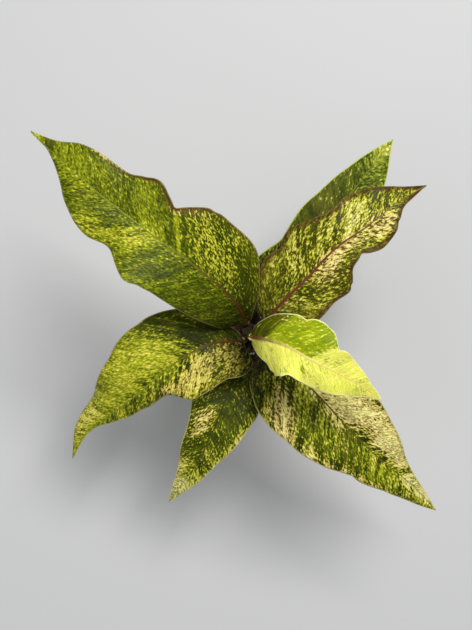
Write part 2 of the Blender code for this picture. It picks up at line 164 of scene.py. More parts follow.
def mixed(tree, share, first, second):
    """A colour mix: share 0 gives the first colour, 1 the second. A Mix node has them at places 6 and 7."""
    values = {"Factor": share, 6: first, 7: second}
    return add_node(tree, "ShaderNodeMix", values, data_type="RGBA").outputs[2]


def scaled(tree, value, low, high, to_low=0.0, to_high=1.0, **choices):
    """The value carried from the range low to high over to another range, and held inside it."""
    values = {"Value": value, "From Min": low, "From Max": high, "To Min": to_low, "To Max": to_high}
    return add_node(tree, "ShaderNodeMapRange", values, **choices).outputs["Result"]


def stepped(tree, value, low, high, to_low=0.0, to_high=1.0):
    """Like scaled, with a soft start and end. Swapping low and high turns it round."""
    return scaled(tree, value, low, high, to_low, to_high, interpolation_type="SMOOTHSTEP")


def noise_value(tree, vector, scale, detail=2.0, roughness=0.5):
    values = {"Vector": vector, "Scale": scale, "Detail": detail, "Roughness": roughness}
    return add_node(tree, "ShaderNodeTexNoise", values).outputs["Fac"]


print("node kit: sums, steps, mixes, noise")

# %% Trees with named sockets, and materials
WHOLE_NUMBER, NUMBER, VECTOR = "NodeSocketInt", "NodeSocketFloat", "NodeSocketVector"
COLOUR, MATERIAL, GEOMETRY = "NodeSocketColor", "NodeSocketMaterial", "NodeSocketGeometry"


def tree_with_sockets(kind, name, inputs, outputs):
    """An empty node tree, and the sockets of its input and output nodes."""
    tree = bpy.data.node_groups.new(name, kind)
    for label, (socket_kind, value) in inputs.items():
        socket = tree.interface.new_socket(label, in_out="INPUT", socket_type=socket_kind)
        if value is not None:
            socket.default_value = value
    for label, socket_kind in outputs.items():
        tree.interface.new_socket(label, in_out="OUTPUT", socket_type=socket_kind)
    return tree, tree.nodes.new("NodeGroupInput").outputs, tree.nodes.new("NodeGroupOutput").inputs


def geometry_tree(name, inputs):
    """A tree that takes in a mesh and gives one out, with a finish among its named inputs."""
    inputs = {"Geometry": (GEOMETRY, None), "Finish": (MATERIAL, None), **inputs}
    return tree_with_sockets("GeometryNodeTree", name, inputs, {"Geometry": GEOMETRY})


def finish_material(name, roughness, bump_distance=None):
    """A new material: its tree, its surface shader and, with a bump distance, the bump's height."""
    made = bpy.data.materials.new(name)
    made.use_nodes = True
    tree = made.node_tree
    shader = tree.nodes["Principled BSDF"]
    shader.inputs["Roughness"].default_value = roughness
    if bump_distance is None:
        return made, tree, shader, None
    bump = add_node(tree, "ShaderNodeBump", {"Distance": bump_distance, "Strength": 1.0})
    feed(tree, shader.inputs["Normal"], bump.outputs["Normal"])
    return made, tree, shader, bump.inputs["Height"]


def object_place(tree):
    """Where a point lies in metres, the same for every piece because they all stand at the origin."""
    return add_node(tree, "ShaderNodeTexCoord").outputs["Object"]


print("node kit: trees and materials")

# %% [markdown]
# ## Floor and light
#
# A pale, plain floor and one large soft lamp make a quiet studio. The lamp hangs high, a little towards the
# top right of the picture, so the waves of the blades show as light and shade. A weaker lamp and the dim pale
# sky fill the shadows. The middle of the plant is dark because the leaves close over it, and painted shade on
# the leaves' bases, the stalks and the stem's bark darkens it further.

# %% Floor, lamps and sky
FLOOR_HALF = 3.0
LAMP_TARGET = Vector((0, 0, 120 * MM))
LAMPS = {  # place and size in metres, and power in watts
    "soft_key": ((0.35, 0.6, 1.4), 0.6, 19.5),
    "soft_fill": ((-1.0, -0.5, 1.2), 1.2, 4),
}

floor_finish, tree, shader, _ = finish_material("pale_floor", 0.9)
feed(tree, shader.inputs["Base Color"], (0.62, 0.62, 0.61))
floor_mesh = bpy.data.meshes.new("floor")
corners = [(x * FLOOR_HALF, y * FLOOR_HALF, 0) for x, y in ((-1, -1), (1, -1), (1, 1), (-1, 1))]
floor_mesh.from_pydata(corners, [], [(0, 1, 2, 3)])
floor_mesh.materials.append(floor_finish)
floor = link(floor_mesh, "floor")
floor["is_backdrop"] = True

for name, (place, size, watts) in LAMPS.items():
    lamp = bpy.data.lights.new(name, "AREA")
    lamp.size = size
    lamp.energy = watts
    obj = link(lamp, name)
    obj.location = place
    obj.rotation_euler = (LAMP_TARGET - Vector(place)).to_track_quat("-Z", "Y").to_euler()
sky = bpy.data.worlds.new("studio_sky")
sky.use_nodes = True
background = sky.node_tree.nodes["Background"]
feed(sky.node_tree, background.inputs["Color"], (0.93, 0.96, 1.0))
feed(sky.node_tree, background.inputs["Strength"], 0.3)
bpy.context.scene.world = sky
bpy.context.scene.view_settings.view_transform = "Standard"
print("floor", 2 * FLOOR_HALF, "m wide,", len(LAMPS), "lamps")

# %% [markdown]
# ## The leaves' measures
#
# A leaf is a rule with a few numbers: seven points along the midrib, and how wide the blade is on each side
# at every twelfth of it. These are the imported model's own numbers, so a finer leaf keeps the form of the
# plain one. Reading the plain mesh back would be another way, but it would carry its flat facets along. The
# side veins, fine ripples and notches are new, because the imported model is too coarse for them.

# %% The leaves, oldest first
# stem: the stalk's direction in degrees, its height on the stem and how far it swings out, in mm.
# midrib, left, right: points along the midrib, and the half-widths of each side, in mm.
# lobes: how far the base reaches back, in mm. fold: how steeply a side rises. curl: how far its margin bends
# down, in mm. Each has a left and a right value.
# waves: how many, their height in mm, and where on the midrib a left and a right crest start.
# veins: side veins along the blade. ruffle: strength of the fine ripples. relief: the veins' depth in mm.
# notches: place on the midrib, side (1 is left, -1 right), depth in mm (a minus makes a bulge), and breadth.
LEAVES = {
    "leaf_1": dict(
        stem=(250, 84, 11), lobes=(2, 2), fold=(0.22, 0.25), curl=(2.5, 2.5), waves=(2.6, 1, 0.3, 0.45),
        midrib=(
            (-6, -21, 114), (-14, -37, 126), (-21, -56, 130), (-29, -75, 126), (-38, -92, 117),
            (-48, -107, 106), (-58, -122, 94),
        ),
        left=(15, 22, 24.5, 24.5, 22, 19.5, 16.5, 13, 10.5, 8.5, 6, 3, 0),
        right=(7, 17, 21, 22, 20.5, 18, 17, 15.5, 12.5, 9, 6, 3.5, 0),
        veins=24, ruffle=0.4, relief=0.3,
        notches=(),
    ),
    "leaf_2": dict(
        stem=(72, 87, 11), lobes=(2, 2), fold=(0.2, 0.2), curl=(2, 2), waves=(3, 1.4, 0.35, 0.5),
        midrib=(
            (8, 19, 120), (19, 33, 139), (33, 50, 151), (48, 70, 156), (65, 91, 154), (80, 110, 147),
            (95, 129, 137),
        ),
        left=(10.5, 20, 23, 21, 17.5, 18.5, 19, 17, 15, 12, 9, 5, 0),
        right=(6, 12, 15, 17, 18, 18.5, 19, 19, 18, 16, 11.5, 5.5, 0),
        veins=24, ruffle=0.25, relief=0.2,
        notches=(),
    ),
    "leaf_3": dict(
        stem=(302, 91, 11), lobes=(3, 3), fold=(0.28, 0.2), curl=(4, 5), waves=(2.6, 1.3, 0.6, 0.35),
        midrib=(
            (9, -11, 127), (28, -25, 145), (48, -45, 152), (67, -66, 150), (87, -85, 142), (108, -102, 131),
            (127, -122, 121),
        ),
        left=(8, 17, 22.5, 26.5, 28, 27.5, 26.5, 23, 18, 11, 5.5, 3, 0),
        right=(19, 28, 34.5, 37, 36, 34, 29, 23, 20, 15.5, 12.5, 7.5, 0),
        veins=28, ruffle=0.5, relief=0.3,
        notches=((0.62, -1, 0.8, 0.02),),
    ),
    "leaf_4": dict(
        stem=(196, 95, 11), lobes=(13, 4), fold=(0.3, 0.22), curl=(6, 7), waves=(2.6, 2, 0.25, 0.45),
        midrib=(
            (-5, -5, 142), (-29, -8, 156), (-53, -22, 156), (-74, -40, 148), (-94, -55, 133),
            (-113, -69, 116), (-126, -90, 98),
        ),
        left=(16, 23.5, 25, 27, 25, 13.5, 11.5, 9, 6, 2.5, 1.5, 1, 0),
        right=(4, 12, 24.5, 32.5, 35, 34.5, 30.5, 26, 20.5, 15.5, 10, 5, 0),
        veins=27, ruffle=0.6, relief=0.3,
        notches=((0.33, -1, 0.6, 0.015), (0.55, 1, 0.7, 0.02)),
    ),
    "leaf_5": dict(
        stem=(14, 99, 11), lobes=(3, 3), fold=(0.1, 0.3), curl=(3, 3), waves=(3, 3, 0.4, 0.45),
        midrib=(
            (9, 7, 144), (21, 21, 160), (36, 36, 171), (52, 53, 178), (72, 67, 180), (91, 82, 176),
            (111, 94, 168),
        ),
        left=(7, 17, 23, 27.5, 26.5, 29, 24, 21.5, 23, 19.5, 12.5, 5.5, 0),
        right=(7, 17, 23, 24, 23, 25, 17, 14, 16.5, 13.5, 5.5, 2.5, 0),
        veins=27, ruffle=1, relief=0.35,
        notches=(
            (0.33, 1, 1.2, 0.012), (0.55, 1, 1, 0.014), (0.43, -1, 1, 0.012), (0.58, -1, 1.6, 0.018),
            (0.78, -1, 1, 0.012),
        ),
    ),
    "leaf_6": dict(
        stem=(126, 103, 11), lobes=(3, 4), fold=(0.2, 0.35), curl=(4, 4), waves=(2.6, 3.2, 0.32, 0.4),
        midrib=(
            (-3, 7, 150), (-12, 22, 174), (-33, 40, 193), (-59, 59, 202), (-85, 79, 205), (-111, 101, 200),
            (-135, 124, 190),
        ),
        left=(12, 19, 22.5, 26, 28, 28.5, 31.5, 22, 24.5, 18.5, 8, 1, 0),
        right=(3, 8.5, 19.5, 32, 33.5, 33, 22.5, 28, 21, 19.5, 16, 6.5, 0),
        veins=30, ruffle=0.8, relief=0.3,
        notches=((0.5, -1, 1.6, 0.012), (0.4, -1, 0.8, 0.012), (0.62, -1, 0.7, 0.014), (0.46, 1, 1, 0.016)),
    ),
    "leaf_7": dict(
        stem=(300, 110, 5), lobes=(2, 2), fold=(0.3, 0.12), curl=(3, 3), waves=(3, 2, 0.52, 0.3),
        midrib=(
            (0, -2, 172), (8, -3, 190), (21, -7, 201), (35, -15, 206), (51, -23, 204), (66, -31, 198),
            (79, -40, 190),
        ),
        left=(4, 9, 14, 17.5, 20, 22.5, 22, 16, 13.5, 10, 6.5, 3.5, 0),
        right=(3, 9.5, 12.5, 15, 19, 15, 14.5, 14.5, 13.5, 10.5, 7, 3, 0),
        veins=20, ruffle=0.8, relief=0.12,
        notches=(
            (0.605, 1, 2.3, 0.02), (0.55, 1, -1.9, 0.03), (0.375, 1, 2, 0.022), (0.25, -1, -2, 0.03),
            (0.4, -1, -1.6, 0.022), (0.85, -1, -1.2, 0.06), (0.87, 1, 1.2, 0.05),
        ),
    ),
}
print({name: len(leaf["notches"]) for name, leaf in LEAVES.items()}, "notches")

# %% [markdown]
# ## Where the leaves are flecked
#
# One sector of a variegated leaf is nearly cream and the next one nearly green. The sectors follow the side
# veins, because a leaf grows out along them. So each leaf has a plan of patches, and a patch's place is told
# by the side vein that runs through it. Paint would be quicker for one leaf, but it needs an image. A plan is
# a few numbers.

# %% The plans
# all_over: flecks, warmth, paleness and blush of the whole blade. A patch adds to them: where on the midrib
# its side vein starts, its place across (1 is the left margin, -1 the right one), its length, its breadth,
# and what it adds to flecks, warmth, paleness and blush. A sector is a patch with sharp ends.
PLANS = {
    "leaf_1": dict(
        all_over=(0.25, 0.1, 0, 0.1),
        patches=(
            (0.22, 0.1, 0.12, 0.5, -0.15, 0, -0.4, 0), (0.34, -0.5, 0.09, 0.34, 0.55, 0.5, 0, 0),
            (0.4, 0.95, 0.3, 0.16, 0.45, 0.2, 0.3, 0), (0.6, 0.6, 0.15, 0.4, 0.2, 0, 0.25, 0),
            (0.75, -0.8, 0.15, 0.35, 0.5, 0.1, 0.6, 0), (0.98, 0, 0.25, 2, 1.4, 0.15, 2.2, 0),
        ),
    ),
    "leaf_2": dict(
        all_over=(0.08, 0.05, -0.25, 0),
        patches=(
            (1, 0, 0.13, 2, 0.7, 0.1, 1.7, 0), (0.48, 0.3, 0.16, 0.8, -0.15, 0.3, -0.4, 0),
            (0.78, 0.3, 0.12, 0.6, 0.05, 0, 0.5, 0), (0.75, -0.6, 0.15, 0.5, 0, 0, 0.5, 0),
            (0.18, 0.95, 0.14, 0.2, 0.3, 0, 0.6, 0),
        ),
    ),
    "leaf_3": dict(
        all_over=(0.28, 0.1, 0.25, 0.2),
        patches=(
            (0.13, -0.7, 0.05, 0.35, 0.55, 0.9, 0, 0), (0.33, -0.25, 0.12, 0.35, 0.05, 0, 0.35, 0),
            (0.35, 0.45, 0.09, 0.55, 1.05, 1, 0.3, 0.1), (0.5, 0.65, 0.1, 0.48, 0.85, 0.9, 0.3, 0.2),
            (0.63, 0.65, 0.1, 0.42, 1.05, 0.7, 0.6, 0.3), (0.47, -0.1, 0.08, 0.25, -0.15, 0, -0.3, 0),
            (0.44, -0.7, 0.1, 0.4, -0.1, 0, -0.4, 0), (0.66, -0.45, 0.1, 0.4, 0.15, 0, 0.4, 0),
            (0.45, -0.95, 0.35, 0.15, 0.45, 0.35, 0.1, 0), (0.85, 0.3, 0.09, 0.6, 1.4, 0.5, 1, 0),
            (1, 0, 0.1, 2, 0.4, 0.1, 0.8, 0),
        ),
    ),
    "leaf_4": dict(
        all_over=(0.25, 0.05, 0.45, 0.2),
        patches=(
            (0.07, -0.5, 0.12, 0.9, -0.3, 0.1, -0.9, 0), (0.25, -0.55, 0.06, 0.5, 0.3, 0, 0.4, 0),
            (0.46, -0.6, 0.15, 0.45, 0.35, 0, 0.7, 0), (0.74, -0.6, 0.12, 0.5, 0.75, 0, 1, 0),
            (1, 0, 0.25, 2, 0.3, 0, 0.7, 0), (0.19, 0.5, 0.09, 0.42, 0.75, 0.6, 0.1, 0),
            (0.3, 0.7, 0.08, 0.35, 0.2, 0.3, 0, 0), (0.02, 0.55, 0.08, 0.7, 0.42, 0.5, 0.2, 0.4),
            (0.45, 0.5, 0.1, 0.5, -0.1, 0, -0.35, 0), (0.33, 0.72, 0.07, 0.3, 0.4, 0.6, 0, 0.5),
        ),
    ),
    "leaf_5": dict(
        all_over=(0.38, 0.12, 0.2, 0.9),
        patches=(
            (0.08, 0, 0.1, 2, 0, 0.3, 0.4, 0), (0.27, 0.6, 0.05, 0.5, 0.35, 0.1, 0.15, 0),
            (0.44, 0.55, 0.05, 0.45, 0.3, 0.1, 0.2, 0), (0.58, 0.4, 0.06, 0.4, 0.75, 0, 0.8, 0),
            (0.47, -0.18, 0.12, 0.25, 0.5, 0.9, 0, 0), (0.7, -0.35, 0.09, 0.5, 0.42, 0.6, 0, 0),
            (0.33, -0.5, 0.1, 0.45, 0, 0.2, -0.1, 0), (0.97, 0, 0.05, 2, 0.5, 0.7, 0, 0.3),
        ),
    ),
    "leaf_6": dict(
        all_over=(0.06, 0, 0.22, 0.1),
        patches=(
            (0.26, -0.52, 0.1, 0.35, 0.4, 0.1, 0, 0), (0.27, -0.1, 0.07, 0.25, 0.25, 0, 0.1, 0),
            (0.12, -0.35, 0.06, 0.4, -0.1, 0, -0.4, 0), (0.38, -0.95, 0.07, 0.2, 0, 0.5, -0.5, 0),
            (0.5, -0.6, 0.07, 0.5, -0.1, 0, 0.15, 0), (0.4, -1, 0.3, 0.18, 0.1, 0.3, 0, 1),
            (0.66, -1, 0.07, 0.08, 0.7, 0.9, 0, -0.4), (0.51, 0.25, 0.045, 0.42, 0.75, 0, 0.9, 0),
            # the patch at 0.34, across 0.95, paints a highlight on the lit corner of the left margin
            (0.58, 0.85, 0.06, 0.35, 0.6, 0, 0.6, 0), (0.34, 0.95, 0.03, 0.12, 0, 0, 0.2, 0),
            (0.18, 0.6, 0.14, 0.55, -0.35, 0, -0.05, 0), (0.8, -0.2, 0.1, 0.8, 0, 0, 0.3, 0),
            (1.02, 0, 0.065, 2, 0.9, 0.3, 1.2, 0), (0.91, -0.5, 0.02, 0.5, -0.1, 0.4, -0.5, 0.2),
        ),
        # The thin sector paints a highlight along a wave's crest; the broad one is the leaf's gold flecks and
        # painted light on the wave's lit side
        sectors=(
            (0.405, -0.5, 0.007, 0.55, 0.4, 0, 0.8, 0), (0.23, -0.55, 0.175, 0.6, 0.15, 0.05, 0, 0),
        ),
    ),
    "leaf_7": dict(
        all_over=(0.25, 0, -0.15, 0),
        patches=(
            # The first two patches paint the base cup through warmth, nearly black: partly the cup's own
            # maroon, partly painted shade in the hollow
            (0.04, 0.5, 0.13, 0.6, -0.4, 1.3, -0.5, 0), (0.1, 0.25, 0.06, 0.3, -0.3, 0.8, -0.6, 0),
            (0.43, -0.5, 0.03, 0.15, 0, 0, -0.7, 0), (0.2, -0.35, 0.02, 0.15, 0, 0, -0.7, 0),
            (0.31, -0.8, 0.02, 0.15, 0, 0, -0.5, 0),
        ),
        sectors=(
            (0.5, -0.75, 1.5, 0.75, 0.2, 0, 1.35, 0), (1.06, 0.3, 0.6, 1.5, 0.2, 0, 1.45, 0),
        ),
    ),
}
print(sum(len(plan["patches"]) for plan in PLANS.values()), "patches")

# %% [markdown]
# ## The rule of a blade
#
# The blade's middle surface is the midrib plus a step sideways, plus a lift: each side rises in a shallow
# fold, bends down again near the margin, and is waved. The waves follow the side veins, which is why they are
# counted from the place where the vein leaves the midrib. NumPy works the rule out for a whole sheet of
# points at once, which takes a moment, where a loop over points would take a minute.

# %% A smooth curve through evenly spaced values
def smooth_values(values, share):
    """The curve through the values, read at an array of shares of its length."""
    values = np.asarray(values, float)
    last = len(values) - 1
    place = np.clip(share, 0, 1) * last
    i = np.minimum(place.astype(int), last - 1)
    f, first, final = place - i, i == 0, i == last - 1
    if values.ndim == 2:
        f, first, final = f[..., None], first[..., None], final[..., None]
    start, end = values[i], values[i + 1]
    slope_start = np.where(first, end - start, (end - values[np.maximum(i - 1, 0)]) / 2)
    slope_end = np.where(final, end - start, (values[np.minimum(i + 2, last)] - start) / 2)
    return (
        start * (2 * f**3 - 3 * f**2 + 1)
        + slope_start * (f**3 - 2 * f**2 + f)
        + end * (3 * f**2 - 2 * f**3)
        + slope_end * (f**3 - f**2)
    )


def ease(share):
    """A soft step from 0 to 1."""
    f = np.clip(share, 0, 1)
    return f * f * (3 - 2 * f)


def unit(vectors):
    return vectors / np.linalg.norm(vectors, axis=-1, keepdims=True)


print("halfway along 0, 1, 4 is", float(smooth_values((0, 1, 4), np.array(0.5))))

# %% The midrib and the blade's width
RIB_RADIUS = 1.7 * MM
RIB_TIP_RADIUS = 0.35 * MM
RIB_TAPER = 1.2  # 1 would be even, and more is quicker near the base
LEAST_SIDE = 0.25 * MM  # what is left of a side beside the midrib
BASE_ROUNDING = 0.07  # the share of the blade over which its base rounds off
VEIN_SLANT = 0.89  # how far a side vein runs forward for each unit it runs out from the midrib
DIRECTION_STEP = 0.012  # the share of the blade over which the midrib's direction is measured


def midrib_length(leaf):
    points = leaf["midrib"]
    return sum(math.dist(a, b) for a, b in zip(points, points[1:])) * MM


def midrib_frame(leaf, share):
    """The midrib's points, and the directions along it, to its left and upwards."""
    points = np.array(leaf["midrib"]) * MM
    here = smooth_values(points, share)
    ahead, behind = (smooth_values(points, share + step) for step in (DIRECTION_STEP, -DIRECTION_STEP))
    along = unit(ahead - behind)
    left = unit(np.cross(UP, along))
    return here, along, left, np.cross(along, left)


def blade_widths(leaf, share):
    """The left and right half-widths, and the midrib's radius."""
    rib = (RIB_RADIUS - RIB_TIP_RADIUS) * (1 - share) ** RIB_TAPER + RIB_TIP_RADIUS
    rounding = np.sqrt(1 - (1 - np.minimum(share / BASE_ROUNDING, 1)) ** 2)
    left, right = (smooth_values(leaf[side], share) * MM * rounding for side in ("left", "right"))
    return np.maximum(left, rib + LEAST_SIDE), np.maximum(right, rib + LEAST_SIDE), rib


def vein_start(leaf, share, out):
    """Where on the midrib the side vein through a point starts, as a share of the blade."""
    return share - out * VEIN_SLANT / midrib_length(leaf)


print({name: round(midrib_length(leaf) / MM) for name, leaf in LEAVES.items()}, "mm long")

# %% The blade's middle surface
LOBE_LENGTH = 0.3  # the share of the blade over which its lobes are swept back
WAVE_TAPER = 0.7  # how abruptly the waves set in from both ends
FULL_WAVE_WIDTH = 12 * MM  # a narrower side is waved less
RIPPLES = ((8.3, 0.6, 0.2), (15.7, 0.35, 0.2), (29.0, 0.12, 0.12))  # how many, height and depth in mm
STEP_ALONG, STEP_ACROSS = 0.004, 0.02  # over which the blade's upward direction is measured


def blade_surface(leaf, share, across):
    """The middle surface at a column of shares and a grid of places across, from -1 to 1."""
    here, along, left, up = (part[:, None, :] for part in midrib_frame(leaf, share))
    left_width, right_width, _ = (part[:, None] for part in blade_widths(leaf, share))
    is_left = across >= 0
    width = np.where(is_left, left_width, right_width)
    fold, curl, lobe = (np.where(is_left, *leaf[key]) for key in ("fold", "curl", "lobes"))
    count, height, left_crest, right_crest = leaf["waves"]
    out = np.abs(across)
    share = share[:, None]
    turn = vein_start(leaf, share, out * width) - np.where(is_left, left_crest, right_crest)
    taper = np.sin(np.pi * np.clip(share, 0, 1)) ** WAVE_TAPER
    fade = np.minimum(width / FULL_WAVE_WIDTH, 1)
    lift = fold * out * width - curl * MM * out**2 * fade
    lift = lift + height * MM * out**2 * taper * fade * np.cos(math.tau * count * turn)
    reach = across * width
    for at, side, depth, breadth in leaf["notches"]:
        dent = np.exp(-(((share - at) / breadth) ** 2)) * (side * across > 0)
        reach = reach - side * depth * MM * out**4 * dent
    swing = leaf["ruffle"] * MM * out**3 * taper * fade
    for number, ripple, bite in RIPPLES:
        phase = math.tau * number * (turn / count + left_crest)
        lift = lift + ripple * swing * np.sin(phase)
        reach = reach + np.sign(across) * bite * swing * np.sin(phase + number)
    back = lobe * MM * out * (1 - ease(share / LOBE_LENGTH))
    return here + left * reach[..., None] + up * lift[..., None] - along * back[..., None]


def blade_normals(leaf, share, across):
    """The directions straight up from the surface, from its slopes along and across."""
    further = blade_surface(leaf, np.minimum(share + STEP_ALONG, 1), across)
    nearer = blade_surface(leaf, np.maximum(share - STEP_ALONG, 0), across)
    outer = blade_surface(leaf, share, np.minimum(across + STEP_ACROSS, 1))
    inner = blade_surface(leaf, share, np.maximum(across - STEP_ACROSS, -1))
    return unit(np.cross(further - nearer, outer - inner))


halfway = blade_surface(LEAVES["leaf_1"], np.array((0.5,)), np.array(((-1.0, 1.0),)))[0]
print("leaf_1 is", round(math.dist(*halfway) / MM), "mm wide halfway")

# %% [markdown]
# ## A skin over rings
#
# Nearly every piece here is a skin drawn over a row of rings: a leaf, a root, the stem, the pot. One function
# builds the faces from a grid of points and closes both ends with a fan. All faces keep the same turn, so
# they all look outwards, which both the renderer and a program that loads the model later rely on.

# %% Skinning rings, and storing numbers on points
def skin(name, rings, start=None, end=None):
    """A closed mesh over rings of points, an array of (rings, points in a ring, 3)."""
    count, size = rings.shape[:2]
    start = rings[0].mean(axis=0) if start is None else start
    end = rings[-1].mean(axis=0) if end is None else end
    points = np.vstack((rings.reshape(-1, 3), start, end))
    j = np.arange(size)
    k = (j + 1) % size
    first = (np.arange(count - 1) * size)[:, None]
    walls = np.stack((first + j, first + k, first + size + k, first + size + j), axis=-1).reshape(-1, 4)
    last = (count - 1) * size
    caps = [(b, a, count * size) for a, b in zip(j.tolist(), k.tolist())]
    caps += [(last + a, last + b, count * size + 1) for a, b in zip(j.tolist(), k.tolist())]
    mesh = bpy.data.meshes.new(name)
    mesh.from_pydata(points.tolist(), [], walls.tolist() + caps)
    mesh.shade_smooth()
    return mesh


def store(mesh, name, values):
    """Keeps three numbers for each point. The middles of the two end caps take their neighbour's."""
    flat = values.reshape(-1, 3)
    size = (len(mesh.vertices) - 2) // len(values)
    flat = np.vstack((flat, flat[size // 4], flat[-size // 4]))
    mesh.attributes.new(name, "FLOAT_VECTOR", "POINT").data.foreach_set("vector", flat.ravel())


print("a skin can be drawn over rings")

# %% Curves, places round the stem, and handing a piece over
def bezier(a, b, c, d, share):
    f = share[:, None]
    return a * (1 - f) ** 3 + b * 3 * (1 - f) ** 2 * f + c * 3 * (1 - f) * f**2 + d * f**3


def round_point(radius, azimuth, height):
    """The place at a distance from the plant's axis, in a direction in degrees."""
    angle = math.radians(azimuth)
    return np.array((radius * math.cos(angle), radius * math.sin(angle), height))


def dress(obj, node, slot, *finishes):
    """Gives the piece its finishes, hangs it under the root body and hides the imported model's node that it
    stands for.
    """
    for finish in finishes:
        obj.data.materials.append(finish)
    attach(obj, "root")
    if node:
        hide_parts(node)
    triangles = sum(len(face.vertices) - 2 for face in obj.data.polygons)
    print(f"{obj.name}: {triangles} triangles")


print("a place 10 mm out, at 90 degrees:", round_point(10 * MM, 90, 0).round(3).tolist())

# %% [markdown]
# ## Running a geometry tree
#
# Geometry Nodes is good at what repeats: grooves along veins, chips on the mix, holes round a foot. A tree is
# run once, on the spot, and its result kept as a plain mesh. A live modifier would do for a picture, but not
# every program that loads the model later knows it. Each tree ends by making its copies real and setting the
# finish.

# %% Keep a geometry tree's result
def run_tree(obj, tree, values):
    """Sets the tree's named inputs, runs it on the object and keeps the result as the object's mesh."""
    modifier = obj.modifiers.new(tree.name, "NODES")
    modifier.node_group = tree
    for item in tree.interface.items_tree:
        if item.in_out == "INPUT" and item.name in values:
            modifier[item.identifier] = values[item.name]
    graph = bpy.context.evaluated_depsgraph_get()
    result = bpy.data.meshes.new_from_object(obj.evaluated_get(graph))
    obj.modifiers.remove(modifier)
    obj.data = result


def end_tree(tree, given, result, geometry):
    """Makes copies real, sets the finish and gives the geometry out."""
    real = first_output(tree, "GeometryNodeRealizeInstances", {0: geometry})
    values = {"Geometry": real, "Material": given["Finish"]}
    feed(tree, result["Geometry"], first_output(tree, "GeometryNodeSetMaterial", values))
    return tree


print("a tree can be run and its mesh kept")

# %% The side veins' relief
GROOVE_POWER = 0.6  # under 1, the grooves are narrow and the swellings between them are broad
GROOVE_LEVEL = 0.75  # how high between a groove and a swelling the plain surface lies
RELIEF_MARGIN = 4.0  # in mm, where the relief has faded in from the margin
RELIEF_OFF_RIB = 0.6  # how much of a midrib stops the relief


def named_vector(tree, name):
    values = {"Name": name}
    node = add_node(tree, "GeometryNodeInputNamedAttribute", values, data_type="FLOAT_VECTOR")
    return node.outputs["Attribute"]


def vein_relief_tree():
    """Sinks the blade a little along its side veins, so that it is quilted between them."""
    inputs = {"Depth": (NUMBER, 0.3 * MM), "Margin": (NUMBER, RELIEF_MARGIN)}
    tree, given, result = geometry_tree("vein_relief", inputs)
    _, _, edge = parts_of(tree, named_vector(tree, "place"))
    ribness, _, veins = parts_of(tree, named_vector(tree, "rib"))
    arch = sum_of(tree, "ABSOLUTE", sum_of(tree, "SINE", product(tree, veins, math.pi)))
    swell = sum_of(tree, "SUBTRACT", sum_of(tree, "POWER", arch, GROOVE_POWER), GROOVE_LEVEL)
    inner = stepped(tree, edge, 0.5, given["Margin"])
    away = stepped(tree, ribness, RELIEF_OFF_RIB, 0.0)
    height = product(tree, swell, given["Depth"], product(tree, inner, away))
    offset = vector_times(tree, named_vector(tree, "blade_up"), height)
    values = {"Geometry": given["Geometry"], "Offset": offset}
    return end_tree(tree, given, result, first_output(tree, "GeometryNodeSetPosition", values))


vein_relief = vein_relief_tree()
print("vein relief tree:", len(vein_relief.nodes), "nodes")

# %% [markdown]
# ## The mesh of a leaf
#
# The leaf is one skin from the stem to the tip: rings round the stalk, then rings round the blade, which is
# an upper and a lower face a fraction of a millimetre apart. The midrib is a smooth swelling, small above and
# large below. Each point also keeps numbers for the finish: where it lies between the side veins, how far it
# is from the margin, and how flecked the leaf is there.

# %% Columns across a blade, and round rings
RIB_COLUMNS = 4
SIDE_COLUMNS = 21


def column_places(leaf, share):
    """How far out each column lies, left side positive, its half-width, and the midrib's radius."""
    left_width, right_width, rib = (part[:, None] for part in blade_widths(leaf, share))
    near = np.linspace(0, 1, RIB_COLUMNS, endpoint=False)[None, :] * rib
    sides = []
    for width in (left_width, right_width):
        far = rib + (width - rib) * np.linspace(0, 1, SIDE_COLUMNS)[None, :]
        sides.append(np.hstack((near, far)))
    away = np.hstack((sides[0][:, ::-1], -sides[1][:, 1:]))
    return away, np.where(away > 0, left_width, right_width), rib


def round_rings(centres, left, up, radius, columns):
    """Round rings with their points in a blade's order: over the top from left to right, and back below."""
    half = columns // 2
    angles = math.pi / 2 * (1 - np.arange(half, -half - 1, -1) / (half + 0.5))
    cosines, sines = np.cos(angles)[None, :, None], np.sin(angles)[None, :, None]
    centres, left, up = centres[:, None, :], left[:, None, :], up[:, None, :]
    radius = np.broadcast_to(radius, len(centres))[:, None, None]
    upper = centres + radius * (cosines * left + sines * up)
    lower = centres + radius * (cosines * left - sines * up)
    return np.concatenate((upper, lower[:, ::-1]), axis=1)


print("points in each ring of a leaf:", 2 * (2 * (RIB_COLUMNS + SIDE_COLUMNS) - 1))

# %% The stalk, from just under the stem's bark
STEM_RADIUS, STEM_FOOT, STEM_TOP, MIX_LEVEL = 6.8 * MM, 42 * MM, 112 * MM, 75 * MM
STEM_TAPER, STEM_POINT = 0.22, 0.45  # how much thinner its top is, and the share of its radius at its foot
SCAR_DEPTH, SCAR_SPACING = 0.35 * MM, 6.5 * MM
STALK_STATIONS = 26
STALK_RADIUS, STALK_BASE_RADIUS = 2.1 * MM, 3.3 * MM
FLARE_LENGTH = 0.45  # the share of the stalk over which its base narrows
COLLAR_SIZE, COLLAR_START, COLLAR_LENGTH = 0.35 * MM, 0.6, 0.3  # the swelling under the blade
STALK_START = 0.35  # how far from the stem's axis a stalk starts, as a share of the stem's radius
OLD_SWING = 11  # how far an old leaf's stalk swings out, in mm
STALK_RISE, STALK_ARRIVAL, STALK_SLOPE = 0.22, 0.3, 0.35  # its rise, its last stretch and how that slopes
BARK_COVER = 2 * MM  # how deep under the bark the stalk's first ring lies


def stem_radius(height):
    """The stem's radius at a height: pointed below, ringed by leaf scars above."""
    below = ease((height - STEM_FOOT) / (MIX_LEVEL - STEM_FOOT))
    above = 1 - STEM_TAPER * ease((height - MIX_LEVEL) / (STEM_TOP - MIX_LEVEL))
    scars = SCAR_DEPTH * np.cos(math.tau * (height - STEM_TOP) / SCAR_SPACING)
    return STEM_RADIUS * (STEM_POINT + (1 - STEM_POINT) * below) * above + scars


